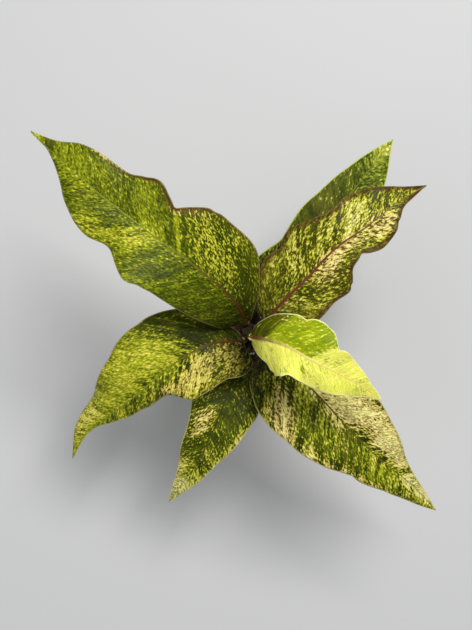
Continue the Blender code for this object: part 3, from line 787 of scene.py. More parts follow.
def stalk_rings(leaf, columns):
    """Rings from just under the stem's bark up to the blade, and how far along the stalk each is."""
    azimuth, height, swing = leaf["stem"]
    base, along, blade_left, _ = (part[0] for part in midrib_frame(leaf, np.zeros(1)))
    start = round_point(STEM_RADIUS * STALK_START * swing / OLD_SWING, azimuth, height * MM)
    length = np.linalg.norm(base - start)
    leaves = round_point(swing * MM, azimuth, height * MM + STALK_RISE * length)
    arrives = base - unit(STALK_SLOPE * along + UP) * length * STALK_ARRIVAL
    trial = np.linspace(0, 0.5, 101)
    line = bezier(start, leaves, arrives, base, trial)
    under_bark = np.hypot(line[:, 0], line[:, 1]) < stem_radius(line[:, 2]) - BARK_COVER
    buried = under_bark & (line[:, 2] < STEM_TOP + 0.5 * MM)
    share = np.linspace(trial[buried.sum()], 1, STALK_STATIONS, endpoint=False)
    here = bezier(start, leaves, arrives, base, share)
    ahead = unit(bezier(start, leaves, arrives, base, share + 0.02) - here)
    left = unit(blade_left - ahead * (ahead @ blade_left)[:, None])
    flare = (STALK_BASE_RADIUS - STALK_RADIUS) * (1 - ease(share / FLARE_LENGTH))
    collar = COLLAR_SIZE * ease((share - COLLAR_START) / COLLAR_LENGTH)
    return round_rings(here, left, np.cross(ahead, left), STALK_RADIUS + flare + collar, columns), share


print(f"the stem is {2 * stem_radius(MIX_LEVEL) / MM:.1f} mm thick where it leaves the mix")

# %% Rings round a blade
BLADE_STATIONS, LAST_STATION = 190, 0.993
CROWDING = 0.07  # how much closer the stations lie at both ends of the blade
HALF_THICKNESS = 0.4 * MM
MARGIN_THINNING, THIN_FROM, THIN_OVER = 0.5, 0.7, 0.3  # the blade gets thinner towards its margins
THICK_WIDTH = 6 * MM  # a narrower side is thinner too
RIB_ABOVE, RIB_BELOW = 0.35, 0.9  # how far the midrib stands out, as shares of its radius
GROWN_BY = 0.035  # the share of the blade at which the round stalk has become a blade


def blade_rings(leaf, share, away, width, rib, ribness):
    """Rings round the blade as it grows out of the stalk, and which way each point is raised by relief."""
    across, columns = away / width, away.shape[1]
    middle, normal = blade_surface(leaf, share, across), blade_normals(leaf, share, across)
    thinning = 1 - MARGIN_THINNING * ease((np.abs(across) - THIN_FROM) / THIN_OVER)
    thin = thinning * (0.5 + 0.5 * np.minimum(width / THICK_WIDTH, 1))
    upper = middle + normal * (HALF_THICKNESS * thin + RIB_ABOVE * rib * ribness)[..., None]
    lower = middle - normal * (HALF_THICKNESS * thin + RIB_BELOW * rib * ribness)[..., None]
    rings = np.concatenate((upper, lower[:, ::-1]), axis=1)
    here, _, left, up = midrib_frame(leaf, share)
    grown = ease(share / GROWN_BY)[:, None, None]
    stalk_end = round_rings(here, left, up, STALK_RADIUS, columns)
    return rings * grown + stalk_end * (1 - grown), normal * grown


print("rings along a leaf:", STALK_STATIONS + BLADE_STATIONS + 1)

# %% What each point of a leaf knows
# Across and along are in cm, from vein to vein and along a vein, and edge is in mm from the margin. Upper is
# 1 on the upper face, ribness is 1 on the midrib, and veins counts the side veins, so its sine follows them.
POINT_NUMBERS = {
    "vein": ("across", "along", "upper"),
    "place": ("share", "side", "edge"),
    "plan": ("flecks", "warmth", "pale"),
    "rib": ("ribness", "blush", "veins"),
}
VEIN_ANGLE = math.atan2(1, VEIN_SLANT)
PER_CM = 100
PATCH_SHARPNESS = {"patches": 0.75, "sectors": 4}
STALK_EDGE = 20  # a stalk counts as this far from any margin, in mm


def plan_values(name, start, across):
    """How flecked, warm, pale and blushed the blade is at each point, from the leaf's patches."""
    plan = PLANS[name]
    values = np.zeros((*start.shape, 4)) + plan["all_over"]
    for kind, sharpness in PATCH_SHARPNESS.items():
        for at, side, length, breadth, *amounts in plan.get(kind, ()):
            away = ((start - at) / length) ** 4 + ((across - side) / breadth) ** 4
            values += np.exp(-(away**sharpness))[..., None] * amounts
    return values


def vein_count(leaf, number, start, away):
    """The side veins counted from the base, drifting a little, and half a vein apart on the two sides."""
    count = leaf["veins"] * start + 0.35 * np.sin(9 * start + 2 * number)
    count = count + 0.2 * np.sin(23 * start + np.sign(away))
    return count + 0.5 * (away < 0)


print("numbers on each point:", ", ".join(label for row in POINT_NUMBERS.values() for label in row))

# %% The leaves' meshes
def leaf_mesh(name, number):
    leaf = LEAVES[name]
    step = np.linspace(0, 1, BLADE_STATIONS + 1)
    share = LAST_STATION * (step - CROWDING * np.sin(math.tau * step))
    away, width, rib = column_places(leaf, share)
    ribness = (1 - np.minimum(np.abs(away) / rib, 1) ** 2) ** 2
    rings, raised = blade_rings(leaf, share, away, width, rib, ribness)
    stalk, stalk_share = stalk_rings(leaf, away.shape[1])
    mesh = skin(name, np.concatenate((stalk, rings)), end=np.array(leaf["midrib"][-1]) * MM)

    def both_faces(values, stalk_values):
        """The stalk's numbers, then the upper face's, repeated for the lower face."""
        values = np.concatenate((values, values[:, ::-1]), axis=1)
        return np.concatenate((np.broadcast_to(stalk_values, stalk.shape), values))

    start = vein_start(leaf, share[:, None], np.abs(away))
    across_veins = start * midrib_length(leaf) * PER_CM * math.sin(VEIN_ANGLE)
    along_vein = away * PER_CM / math.sin(VEIN_ANGLE)
    vein = both_faces(np.stack((across_veins, along_vein, np.ones_like(away)), axis=-1), (0, 0, 1))
    vein[len(stalk):, away.shape[1]:, 2] = 0
    vein[:len(stalk), :, 0] = (stalk_share[:, None] - 1) * 5
    across = away / width
    share_grid = np.broadcast_to(share[:, None], away.shape)
    edge = (width - np.abs(away)) / MM
    place = both_faces(np.stack((share_grid, across, edge), axis=-1), (0, 0, STALK_EDGE))
    place[:len(stalk), :, 0] = stalk_share[:, None] - 1
    plan = plan_values(name, start, across)
    ribs = np.stack((ribness, plan[..., 3], vein_count(leaf, number, start, away)), axis=-1)
    store(mesh, "vein", vein)
    store(mesh, "place", place)
    store(mesh, "plan", both_faces(plan[..., :3], (0, 0, 0)))
    store(mesh, "rib", both_faces(ribs, (1, 0, 0)))
    store(mesh, "blade_up", both_faces(raised, (0, 0, 0)))
    return mesh


leaves = {name: link(leaf_mesh(name, number), name + "_fine") for number, name in enumerate(LEAVES)}
print("leaf points:", {name: len(obj.data.vertices) for name, obj in leaves.items()})

# %% [markdown]
# ## The finish of a variegated blade
#
# The leaves are splashed: cells without green leave gold and cream flecks, and each fleck is drawn out along
# a side vein, since a leaf grows that way. So the pattern isn't painted. Noise is stretched along the veins,
# and a threshold turns it into flecks. The stored plan raises or lowers the threshold, so one leaf can be
# nearly green at its base and nearly cream along a margin. All seven leaves share one node group and differ
# in its inputs.

# %% What the leaves have in common, with colours as a screen shows them
def screen(red, green, blue):
    """The linear colour for a red, green and blue of 0 to 255."""
    shares = (red / 255, green / 255, blue / 255)
    return tuple(c / 12.92 if c < 11 / 255 else ((c + 0.055) / 1.055) ** 2.4 for c in shares)


COMMON = {
    "Deep Green": (42, 50, 2), "Fresh Green": (92, 104, 4), "Pale Ground": (166, 174, 26),
    "Warm Ground And Cup Shade": (108, 88, 26), "Gold Fleck": (202, 198, 50), "Cream Fleck": (246, 238, 150),
    "Warm Fleck": (240, 214, 124), "Vein Colour": (176, 180, 60), "Rib Base": (92, 50, 26),
    "Rib Tip": (122, 124, 40), "Rib Turns At": 0.5, "Rib Width": 0.5, "Rib Halo": 0.05,
    "Vein Strength": 0.45, "Contrast": 0.6, "Patchiness": 1.0, "Edge": (210, 200, 130),
    "Edge Strength": 0.6, "Base Shade": 0.35, "Base Length": 0.33, "Blush": (70, 42, 14),
    "Blush Width": 3.0, "Underside": (120, 128, 56), "Shine": 0.46,
}
print(len(COMMON), "inputs for each leaf")

# %% The group, with its inputs and the numbers that it reads
inputs = {"Seed": (NUMBER, 0.0)}
for key, value in COMMON.items():
    inputs[key] = (COLOUR, (*screen(*value), 1)) if isinstance(value, tuple) else (NUMBER, value)
outputs = {"Color": COLOUR, "Roughness": NUMBER, "Height": NUMBER}
group, given, result = tree_with_sockets("ShaderNodeTree", "variegated_blade", inputs, outputs)
parts = {}
for name, labels in POINT_NUMBERS.items():
    attribute = add_node(group, "ShaderNodeAttribute", attribute_name=name)
    parts.update(zip(labels, parts_of(group, attribute.outputs["Vector"])))
print("read from the mesh:", ", ".join(parts))

# %% The patterns: noise drawn out along the side veins, from about -1 to 1
PATTERNS = {  # scale to the centimetre, squeeze along the veins, detail and roughness
    "uneven": (1.1, 0.45, 2.0, 0.5),
    "bands": (3.6, 0.16, 2.0, 0.5),
    "streak": (7.0, 0.28, 3.0, 0.6),
    "speck": (8.0, 0.7, 2.0, 0.6),
    "fibre": (16.0, 0.1, 2.0, 0.5),
    "net": (4.6, 0.45, 3.0, 0.65),
}
NOISE_LOW, NOISE_HIGH = 0.25, 0.75  # noise hardly leaves this range

for name, (scale, squeeze, detail, roughness) in PATTERNS.items():
    drawn_out = {0: parts["across"], 1: product(group, parts["along"], squeeze), 2: given["Seed"]}
    place = first_output(group, "ShaderNodeCombineXYZ", drawn_out)
    grain = noise_value(group, place, scale, detail, roughness)
    parts[name] = scaled(group, grain, NOISE_LOW, NOISE_HIGH, -1, 1)
parts["broad"] = product(group, parts["uneven"], given["Patchiness"])
parts["bands"] = product(group, parts["bands"], given["Patchiness"])
parts["net"] = sum_of(group, "ABSOLUTE", parts["net"])
parts["arch"] = sum_of(group, "ABSOLUTE", sum_of(group, "SINE", product(group, parts["veins"], math.pi)))
parts["off_rib"] = sum_of(group, "ABSOLUTE", parts["along"])
print(len(PATTERNS), "patterns")

# %% The shares: how far one look has gained over another
# Each is a sum of weighted parts, the two values between which it steps from 0 to 1, and its strength. Where
# the second value is the lower one, the share falls as the sum rises.
GRAIN = {"streak": 0.5, "speck": 1.1, "bands": 0.35, "broad": 0.2, "flecks": 1.3}
SHARES = {
    "fresh": ({"bands": 0.3, "broad": 0.4, "streak": 0.25, "speck": 0.3}, -0.8, 0.8, 1),
    "paler": ({"pale": 1, "bands": 0.3, "streak": 0.35, "broad": 0.15, "speck": 0.45}, 0.0, 1.1, 1),
    "warm": ({"warmth": 1, "bands": 0.25, "broad": 0.2}, 0.1, 0.9, 1),
    "between": ({"flecks": 1}, 0.3, 1.1, 1),
    "gold": (GRAIN, 0.65, 1.05, 0.85),
    "cream": (GRAIN, 1.2, 1.75, 0.85),
    "thread": ({"net": 1}, 0.26, 0.04, 1),
    "dense": ({"flecks": 1, "bands": -0.6, "broad": -0.5}, 0.5, 1.3, 0.75),
    "line": ({"arch": 1}, 0.2, 0.03, 1),
    "inside": ({"edge": 1}, 0.8, 3.5, 1),
    "hair": ({"fibre": 1}, 0.45, 0.9, 0.5),
    "visible": ({"broad": 1, "bands": 1}, -0.6, 0.8, 1),
    "rim": ({"edge": 1, "streak": 0.25}, 0.9, 0.2, 1),
    "below": ({"upper": 1}, 1, 0, 1),
}


def total(**weights):
    """The sum of the named parts, each times its weight."""
    result = 0.0
    for name, weight in weights.items():
        result = sum_of(group, "MULTIPLY_ADD", parts[name], weight, result)
    return result


def share_of(name):
    weights, low, high, strength = SHARES[name]
    share = stepped(group, total(**weights), low, high)
    return share if strength == 1 else product(group, share, strength)


print(len(SHARES), "shares")

# %% The ground, and the flecks on it
WARM_GROUND_SHARE = 0.75

warm = share_of("warm")
surface = mixed(group, share_of("fresh"), given["Deep Green"], given["Fresh Green"])
surface = mixed(group, share_of("paler"), surface, given["Pale Ground"])
surface = mixed(group, product(group, warm, WARM_GROUND_SHARE), surface, given["Warm Ground And Cup Shade"])
between = product(group, share_of("between"), given["Contrast"])
surface = mixed(group, between, surface, given["Deep Green"])
gold = mixed(group, warm, given["Gold Fleck"], given["Warm Fleck"])
surface = mixed(group, share_of("gold"), surface, gold)
surface = mixed(group, share_of("cream"), surface, given["Cream Fleck"])
# thin wavy gaps part the flecks where they are dense
gap_colour = mixed(group, warm, given["Deep Green"], given["Warm Ground And Cup Shade"])
surface = mixed(group, product(group, share_of("thread"), share_of("dense")), surface, gap_colour)
print("ground and flecks:", len(group.nodes), "nodes so far")

# %% Side veins with fine hairs beside them, the grain's tone, and painted shade towards each leaf's base
DARKEST, BRIGHTEST = 0.6, 1.28  # the grain's shade

line = product(group, share_of("line"), share_of("inside"))
veined = sum_of(group, "MAXIMUM", line, share_of("hair"))
veined = product(group, share_of("visible"), given["Vein Strength"], veined)
surface = mixed(group, veined, surface, given["Vein Colour"])
shade = scaled(group, total(fibre=0.4, speck=0.6), -1, 1, DARKEST, BRIGHTEST)
surface = vector_times(group, surface, shade)
# Each blade darkens towards its base over Base Length: partly the leaf's deeper green there, partly painted
# shade from the leaves above
painted_base_shade = stepped(group, total(share=1, streak=0.02), 0.0, given["Base Length"], given["Base Shade"], 1)
surface = vector_times(group, surface, painted_base_shade)
print("veins and shade:", len(group.nodes), "nodes so far")

# %% The margin: a broken blush inside a thin pale rim
BLUSH_CORE, BLUSH_SHARE = 0.3, 0.9  # the part of its width where the blush is full, and its strength there

full = product(group, given["Blush Width"], BLUSH_CORE)
near = stepped(group, total(edge=1, uneven=-1, streak=-0.8), given["Blush Width"], full)
surface = mixed(group, product(group, parts["blush"], near, BLUSH_SHARE), surface, given["Blush"])
surface = mixed(group, product(group, share_of("rim"), given["Edge Strength"]), surface, given["Edge"])
print("margin:", len(group.nodes), "nodes so far")

# %% The midrib, painted shade at the heart of the plant, and the underside
TURN_HALF = 0.2  # half the length over which the midrib turns from its base colour to its tip colour
RIB_SHOULDER = 0.35  # the midrib's colour fades in over the first part of its width
HALO_SHARE = 0.8
HEART_LENGTH, HEART_LIFT = 0.12, 0.05  # painted shade: where the leaves meet, blades and stalks are darkened
UNDERSIDE_MIX = 0.35  # how much of the upper side's look shows through below

turned = sum_of(group, "SUBTRACT", total(share=1, streak=0.06), given["Rib Turns At"])
turned = stepped(group, turned, -TURN_HALF, TURN_HALF)
rib_colour = mixed(group, turned, given["Rib Base"], given["Rib Tip"])
halo = stepped(group, total(off_rib=1, streak=0.02), given["Rib Halo"], 0.0)
halo = product(group, halo, scaled(group, turned, 0, 1, HALO_SHARE, 0))
surface = mixed(group, halo, surface, rib_colour)
shoulder = product(group, given["Rib Width"], RIB_SHOULDER)
on_rib = stepped(group, parts["ribness"], shoulder, given["Rib Width"])
surface = mixed(group, on_rib, surface, rib_colour)
# painted shade: the blades darken near their base, and the stalks all along, for the leaves' shade over the
# heart
painted_heart_shade = sum_of(group, "ADD", given["Base Shade"], HEART_LIFT)
surface = vector_times(group, surface, stepped(group, parts["share"], 0.0, HEART_LENGTH, painted_heart_shade, 1))
underside = mixed(group, UNDERSIDE_MIX, given["Underside"], surface)
surface = mixed(group, share_of("below"), surface, underside)

parts["line"] = line
feed(group, result["Color"], surface)
feed(group, result["Roughness"], sum_of(group, "ADD", given["Shine"], total(streak=0.05)))
feed(group, result["Height"], total(streak=0.25, speck=0.2, line=-0.5, fibre=0.1))
print("variegated blade:", len(group.nodes), "nodes")

# %% [markdown]
# ## One finish for each leaf
#
# The old leaves are deep green with gold flecks. The youngest is still lime and cream, because its green
# comes last. The midribs are brown at the base, as young anthurium growth is, and fade towards the tip. When
# a leaf has its finish, its side veins are sunk in and it is handed over.

# %% The leaves' own colours and strengths
FINISHES = {
    "leaf_1": {
        "Rib Base": (58, 56, 8), "Rib Tip": (84, 94, 22), "Rib Width": 0.8, "Edge Strength": 0.8,
    },
    "leaf_2": {
        "Pale Ground": (156, 168, 48), "Gold Fleck": (172, 176, 56), "Rib Base": (90, 84, 30),
        "Rib Width": 0.8, "Edge": (196, 204, 96), "Edge Strength": 0.9, "Vein Strength": 0.2, "Shine": 0.6,
    },
    "leaf_3": {
        "Rib Base": (76, 72, 20), "Rib Tip": (104, 100, 32), "Rib Width": 0.8, "Edge Strength": 0.8,
        "Patchiness": 1.4,
    },
    "leaf_4": {
        "Warm Fleck": (228, 204, 96), "Cream Fleck": (240, 228, 116), "Vein Strength": 0.65,
        "Patchiness": 1.3, "Rib Base": (84, 48, 22), "Rib Tip": (130, 140, 30), "Rib Turns At": 0.3,
        "Rib Width": 0.75,
    },
    "leaf_5": {
        "Deep Green": (54, 54, 4), "Fresh Green": (94, 96, 10), "Rib Base": (112, 62, 40),
        "Rib Turns At": 0.75, "Rib Width": 0.3, "Rib Halo": 0.08, "Vein Strength": 0.6,
        "Edge Strength": 0.1, "Blush Width": 4.5, "Base Shade": 0.55, "Patchiness": 0.6,
    },
    "leaf_6": {
        "Cream Fleck": (226, 224, 96), "Rib Tip": (128, 142, 46), "Rib Turns At": 0.36, "Rib Width": 0.6,
        "Edge Strength": 0.3, "Blush Width": 2.6, "Patchiness": 0.55, "Deep Green": (50, 60, 2),
        "Fresh Green": (88, 100, 3),
    },
    "leaf_7": {
        "Deep Green": (126, 144, 4), "Fresh Green": (186, 200, 20), "Pale Ground": (246, 242, 112),
        # its warm ground is nearly black for the base cup: partly its own maroon, partly painted shade in the
        # hollow
        "Warm Ground And Cup Shade": (26, 15, 1), "Gold Fleck": (214, 220, 56), "Cream Fleck": (246, 242, 130),
        "Vein Colour": (232, 232, 80), "Vein Strength": 0.4, "Contrast": 0.0, "Patchiness": 1.25,
        "Base Shade": 0.85, "Base Length": 0.1, "Rib Base": (122, 84, 40), "Rib Tip": (230, 208, 122),
        "Rib Turns At": 0.26, "Rib Width": 0.4, "Rib Halo": 0.24, "Edge": (250, 248, 180),
        "Edge Strength": 0.8, "Underside": (206, 208, 90),
    },
}
SEED_STEP = 3.7  # between one leaf's noise and the next
LEAF_BUMP, LEAF_SPECULAR = 0.18 * MM, 0.1


def leaf_finish(name, number):
    made, tree, shader, height = finish_material("blade_" + name, 0.4, LEAF_BUMP)
    node = tree.nodes.new("ShaderNodeGroup")
    node.node_tree = group
    for key, value in {**COMMON, **FINISHES[name], "Seed": SEED_STEP * number}.items():
        feed(tree, node.inputs[key], screen(*value) if isinstance(value, tuple) else value)
    feed(tree, shader.inputs["Base Color"], node.outputs["Color"])
    feed(tree, shader.inputs["Roughness"], node.outputs["Roughness"])
    feed(tree, height, node.outputs["Height"])
    shader.inputs["Specular IOR Level"].default_value = LEAF_SPECULAR
    return made


for number, (name, obj) in enumerate(leaves.items()):
    depth = LEAVES[name]["relief"] * MM
    finish = leaf_finish(name, number)
    run_tree(obj, vein_relief, {"Depth": depth, "Margin": RELIEF_MARGIN, "Finish": finish})
    dress(obj, name, "leaf_young" if name == "leaf_7" else "leaf_mottled")

# %% [markdown]
# ## The pot
#
# A nursery pot is moulded from black plastic about a millimetre thick: a cone with a deep rim, and holes
# round the foot. Its wall is one closed profile turned round the axis. Small arcs at the corners catch the
# light as a mould's rounded edges do. The holes are cut by a geometry tree, which sets one cylinder on each
# point of a circle.

# %% The pot's profile, turned
POT_HEIGHT, RIM_RADIUS, FOOT_RADIUS, SHOULDER_RADIUS = 85 * MM, 45 * MM, 31.5 * MM, 42.6 * MM
RIM_LOW, RIM_INNER, FLOOR_LEVEL, WALL = 73 * MM, 43 * MM, 2 * MM, 1.3 * MM
HOLLOW, MIDDLE = 0.8 * MM, 4 * MM  # the underside's middle stands clear; the profile starts this far out
POT_SIDES = 144
CORNERS = [n * MM for n in (0.4, 0.4, 0.9, 0.5, 0.6, 0.7, 0.7, 0.5, 0.5, 1.0)]
CORNER_LIMIT = 0.45  # of the shorter side at a corner, so that two arcs never meet


def pot_inner_radius(height):
    return FOOT_RADIUS + (SHOULDER_RADIUS - FOOT_RADIUS) * height / RIM_LOW - WALL


def rounded(profile, radii, steps=5):
    """The profile with each corner replaced by an arc-like curve of about that radius."""
    profile = [np.array(point, float) for point in profile]
    line = [profile[0]]
    for before, corner, after, radius in zip(profile, profile[1:], profile[2:], radii):
        start = corner + unit(before - corner) * min(radius, np.linalg.norm(before - corner) * CORNER_LIMIT)
        end = corner + unit(after - corner) * min(radius, np.linalg.norm(after - corner) * CORNER_LIMIT)
        for share in np.linspace(0, 1, steps):
            line.append(start * (1 - share) ** 2 + corner * 2 * share * (1 - share) + end * share**2)
    return np.array(line + [profile[-1]])


def turned_rings(profile, sides):
    angles = math.tau * np.arange(sides) / sides
    circle = np.stack((np.cos(angles), np.sin(angles), 0 * angles), axis=-1)
    return profile[:, 0, None, None] * circle[None] + profile[:, 1, None, None] * UP


below = [(MIDDLE, HOLLOW), (22 * MM, HOLLOW), (23 * MM, 0), (FOOT_RADIUS, 0)]
outside = [(SHOULDER_RADIUS, RIM_LOW), (RIM_RADIUS, RIM_LOW + 0.9 * MM), (RIM_RADIUS, POT_HEIGHT)]
inside = [(RIM_INNER, POT_HEIGHT), (RIM_INNER, RIM_LOW + 1.5 * MM)]
inside += [(pot_inner_radius(height), height) for height in (RIM_LOW, FLOOR_LEVEL)]
pot_profile = rounded(below + outside + inside + [(MIDDLE, FLOOR_LEVEL)], CORNERS)
pot_mesh = skin("pot_fine", turned_rings(pot_profile, POT_SIDES), UP * HOLLOW, UP * FLOOR_LEVEL)
pot = link(pot_mesh, "pot_fine")
print("pot:", len(pot_profile), "points in its profile")

# %% Its drain holes
HOLES = 8
HOLE_RADIUS, HOLE_DEPTH, HOLE_MIDDLE, HOLE_INSET = 3.2 * MM, 7 * MM, 1.5 * MM, 1.5 * MM
HOLE_SIDES = 24


def drain_tree():
    """Cuts a ring of upright holes through the pot's foot."""
    inputs = {
        "Holes": (WHOLE_NUMBER, HOLES),
        "Hole Radius": (NUMBER, HOLE_RADIUS),
        "Ring Radius": (NUMBER, FOOT_RADIUS - HOLE_INSET),
        "Turn": (NUMBER, math.tau / HOLES / 2),
    }
    tree, given, result = geometry_tree("drain_holes", inputs)
    values = {"Vertices": given["Holes"], "Radius": given["Ring Radius"]}
    circle = first_output(tree, "GeometryNodeMeshCircle", values)
    values = {"Vertices": HOLE_SIDES, "Radius": given["Hole Radius"], "Depth": HOLE_DEPTH}
    cutter = first_output(tree, "GeometryNodeMeshCylinder", values)
    spots = first_output(tree, "GeometryNodeInstanceOnPoints", {"Points": circle, "Instance": cutter})
    angle = first_output(tree, "ShaderNodeCombineXYZ", {2: given["Turn"]})
    values = {"Geometry": spots, "Rotation": angle, "Translation": (0, 0, HOLE_MIDDLE)}
    turned = first_output(tree, "GeometryNodeTransform", values)
    cutters = first_output(tree, "GeometryNodeRealizeInstances", {0: turned})
    values = {"Mesh 1": given["Geometry"], "Mesh 2": cutters}
    cut = first_output(tree, "GeometryNodeMeshBoolean", values, operation="DIFFERENCE", solver="EXACT")
    return end_tree(tree, given, result, cut)


drain_holes = drain_tree()
print("drain holes:", HOLES)

# %% Its plastic
DUST_LOW, DUST_HIGH, DUST_SHARE = 30 * MM, 86 * MM, 0.35  # dust gathers towards the rim

pot_finish, tree, shader, height = finish_material("moulded_plastic", 0.5, 0.1 * MM)
place = object_place(tree)
grain = noise_value(tree, place, 1400.0)
smudge = noise_value(tree, place, 38.0, 4.0)
_, _, z = parts_of(tree, place)
dust = product(tree, stepped(tree, smudge, 0.45, 0.75), stepped(tree, z, DUST_LOW, DUST_HIGH), DUST_SHARE)
plastic = mixed(tree, grain, (0.016, 0.017, 0.018), (0.026, 0.027, 0.028))
feed(tree, shader.inputs["Base Color"], mixed(tree, dust, plastic, (0.10, 0.08, 0.06)))
feed(tree, shader.inputs["Roughness"], scaled(tree, smudge, 0.3, 0.7, 0.34, 0.6))
feed(tree, height, grain)
run_tree(pot, drain_holes, {"Finish": pot_finish})
dress(pot, "pot", "pot_plastic")

# %% [markdown]
# ## The potting mix
#
# The mix is a plug that fills the pot, domed a little round the stem. Its top is a fine grid, raised by noise
# of two sizes: lumps, and crumbs. A socket in the middle leaves room for the stem.

# %% The plug of mix
MIX_MOUND, MIX_LUMPS, LUMP_SIZE = 2.5 * MM, 1.6 * MM, 9 * MM
CRUMB_SIZES, CRUMB_HEIGHT = (2.6, 1.2), 0.35  # in mm, and a height as a share of the size
MIX_SIDES, MIX_RINGS = 200, 76
CLEARANCE = 0.3 * MM
SOCKET_ROOM, SOCKET_DEPTH, SOCKET_POINT = 0.7 * MM, 60 * MM, 3.6 * MM


def mix_height(x, y):
    away = math.hypot(x, y) / SHOULDER_RADIUS
    return MIX_LEVEL + MIX_MOUND * (1 - away) + noise.noise(Vector((x, y, 0)) / LUMP_SIZE) * MIX_LUMPS


def crumbs(x, y):
    grains = (noise.noise(Vector((x, y, size)) / (size * MM)) * size for size in CRUMB_SIZES)
    return sum(grain * CRUMB_HEIGHT * MM for grain in grains)


def mix_rings():
    """Rings up the plug's outside, in over its top and down into the socket."""
    edge_level, socket = MIX_LEVEL - 6 * MM, STEM_RADIUS + SOCKET_ROOM
    edge = pot_inner_radius(edge_level) - CLEARANCE
    foot = (pot_inner_radius(FLOOR_LEVEL) - 2 * CLEARANCE, FLOOR_LEVEL + CLEARANCE)
    outer = turned_rings(np.array((foot, (edge, edge_level))), MIX_SIDES)
    radii = np.linspace(edge, socket, MIX_RINGS)
    top = turned_rings(np.stack((radii, 0 * radii), axis=-1), MIX_SIDES)
    for row in top:
        row[:, 2] = [mix_height(x, y) + crumbs(x, y) for x, y, _ in row]
    inner = np.array(((socket, SOCKET_DEPTH), (SOCKET_POINT, STEM_FOOT - CLEARANCE)))
    return np.concatenate((outer, top, turned_rings(inner, MIX_SIDES)))


mix = link(skin("potting_mix_fine", mix_rings()), "potting_mix_fine")
print(f"the mix is {mix_height(20 * MM, 0) / MM:.1f} mm high, 20 mm out from the stem")

# %% Its peat and fibre
def drawn_out_noise(tree, place, stretch, scale, detail):
    """Noise whose grains are long in one direction, for fibres."""
    stretched = first_output(tree, "ShaderNodeMapping", {0: place, "Scale": stretch})
    return noise_value(tree, stretched, scale, detail)


mix_finish, tree, shader, height = finish_material("peat_and_fibre", 0.95, 0.6 * MM)
place = object_place(tree)
clods = noise_value(tree, place, 240.0, 4.0, 0.7)
fibres = drawn_out_noise(tree, place, (1, 0.25, 1), 1100.0, 2.0)
earth = mixed(tree, stepped(tree, clods, 0.3, 0.7), (0.016, 0.010, 0.007), (0.075, 0.046, 0.028))
mix_colour = mixed(tree, stepped(tree, fibres, 0.6, 0.72), earth, (0.16, 0.10, 0.055))
feed(tree, shader.inputs["Base Color"], mix_colour)
feed(tree, height, clods)
dress(mix, "potting_mix", "potting_mix", mix_finish)

# %% [markdown]
# ## Bark chips and perlite
#
# Chips and grains are the same stone-like shape in many sizes, so a geometry tree scatters them: points on a
# ring of the mix, one small sphere on each, turned and squashed at random, then dented by noise. The random
# numbers start from a fixed seed, so every run gives the same pot.

# %% A scatter tree
LOWEST_LUMP = 70 * MM  # only the top of the mix carries chips and grains
LUMP_TILT = 0.5  # the steepest tilt, in radians
DENT_SCALE = 420.0
TONE_SEED = 7


def random_vector(tree, low, high, seed):
    values = {0: low, 1: high, "Seed": seed}
    return first_output(tree, "FunctionNodeRandomValue", values, data_type="FLOAT_VECTOR")


def scatter_tree():
    inputs = {
        "Density": (NUMBER, 90000.0),
        "Nearest": (NUMBER, 11 * MM),
        "Furthest": (NUMBER, 38 * MM),
        "Smallest": (VECTOR, None),
        "Largest": (VECTOR, None),
        "Roughness": (NUMBER, 0.6 * MM),
        "Seed": (WHOLE_NUMBER, 0),
    }
    tree, given, result = geometry_tree("scatter", inputs)
    seed = given["Seed"]
    x, y, z = parts_of(tree, first_output(tree, "GeometryNodeInputPosition"))
    out = distance_out(tree, x, y)
    limits = (("GREATER_THAN", out, given["Nearest"]), ("LESS_THAN", out, given["Furthest"]),
              ("GREATER_THAN", z, LOWEST_LUMP))
    density = product(tree, *(sum_of(tree, *limit) for limit in limits), given["Density"])
    values = {"Mesh": given["Geometry"], "Density": density, "Seed": seed}
    spots = first_output(tree, "GeometryNodeDistributePointsOnFaces", values)
    lump = first_output(tree, "GeometryNodeMeshIcoSphere", {"Radius": 1.0, "Subdivisions": 2})
    size = random_vector(tree, given["Smallest"], given["Largest"], seed)
    turn = random_vector(tree, (-LUMP_TILT, -LUMP_TILT, 0), (LUMP_TILT, LUMP_TILT, math.tau), seed)
    values = {"Points": spots, "Instance": lump, "Rotation": turn, "Scale": size}
    lumps = first_output(tree, "GeometryNodeInstanceOnPoints", values)
    tone = add_node(tree, "FunctionNodeRandomValue", {"Seed": TONE_SEED}, data_type="FLOAT").outputs[1]
    values = {"Geometry": lumps, "Name": "tone", "Value": tone}
    kind = "GeometryNodeStoreNamedAttribute"
    toned = first_output(tree, kind, values, data_type="FLOAT", domain="INSTANCE")
    real = first_output(tree, "GeometryNodeRealizeInstances", {0: toned})
    dents = add_node(tree, "ShaderNodeTexNoise", {"Scale": DENT_SCALE, "Detail": 1.0}).outputs["Color"]
    push = first_output(tree, "ShaderNodeVectorMath", {0: dents, 1: (0.5, 0.5, 0.5)}, operation="SUBTRACT")
    values = {"Geometry": real, "Offset": vector_times(tree, push, given["Roughness"])}
    return end_tree(tree, given, result, first_output(tree, "GeometryNodeSetPosition", values))


scatter = scatter_tree()
print("scatter tree:", len(scatter.nodes), "nodes")

# %% The small chips and the grains
def lump_finish(name, dark, light, roughness):
    """A dull material whose lumps differ in tone, with grain inside each."""
    made, tree, shader, height = finish_material(name, roughness, 0.25 * MM)
    grain = noise_value(tree, object_place(tree), 700.0, 3.0, 0.6)
    tone = add_node(tree, "ShaderNodeAttribute", attribute_name="tone").outputs["Fac"]
    share = sum_of(tree, "ADD", product(tree, tone, 0.6), product(tree, grain, 0.5))
    feed(tree, shader.inputs["Base Color"], mixed(tree, share, dark, light))
    feed(tree, height, grain)
    return made


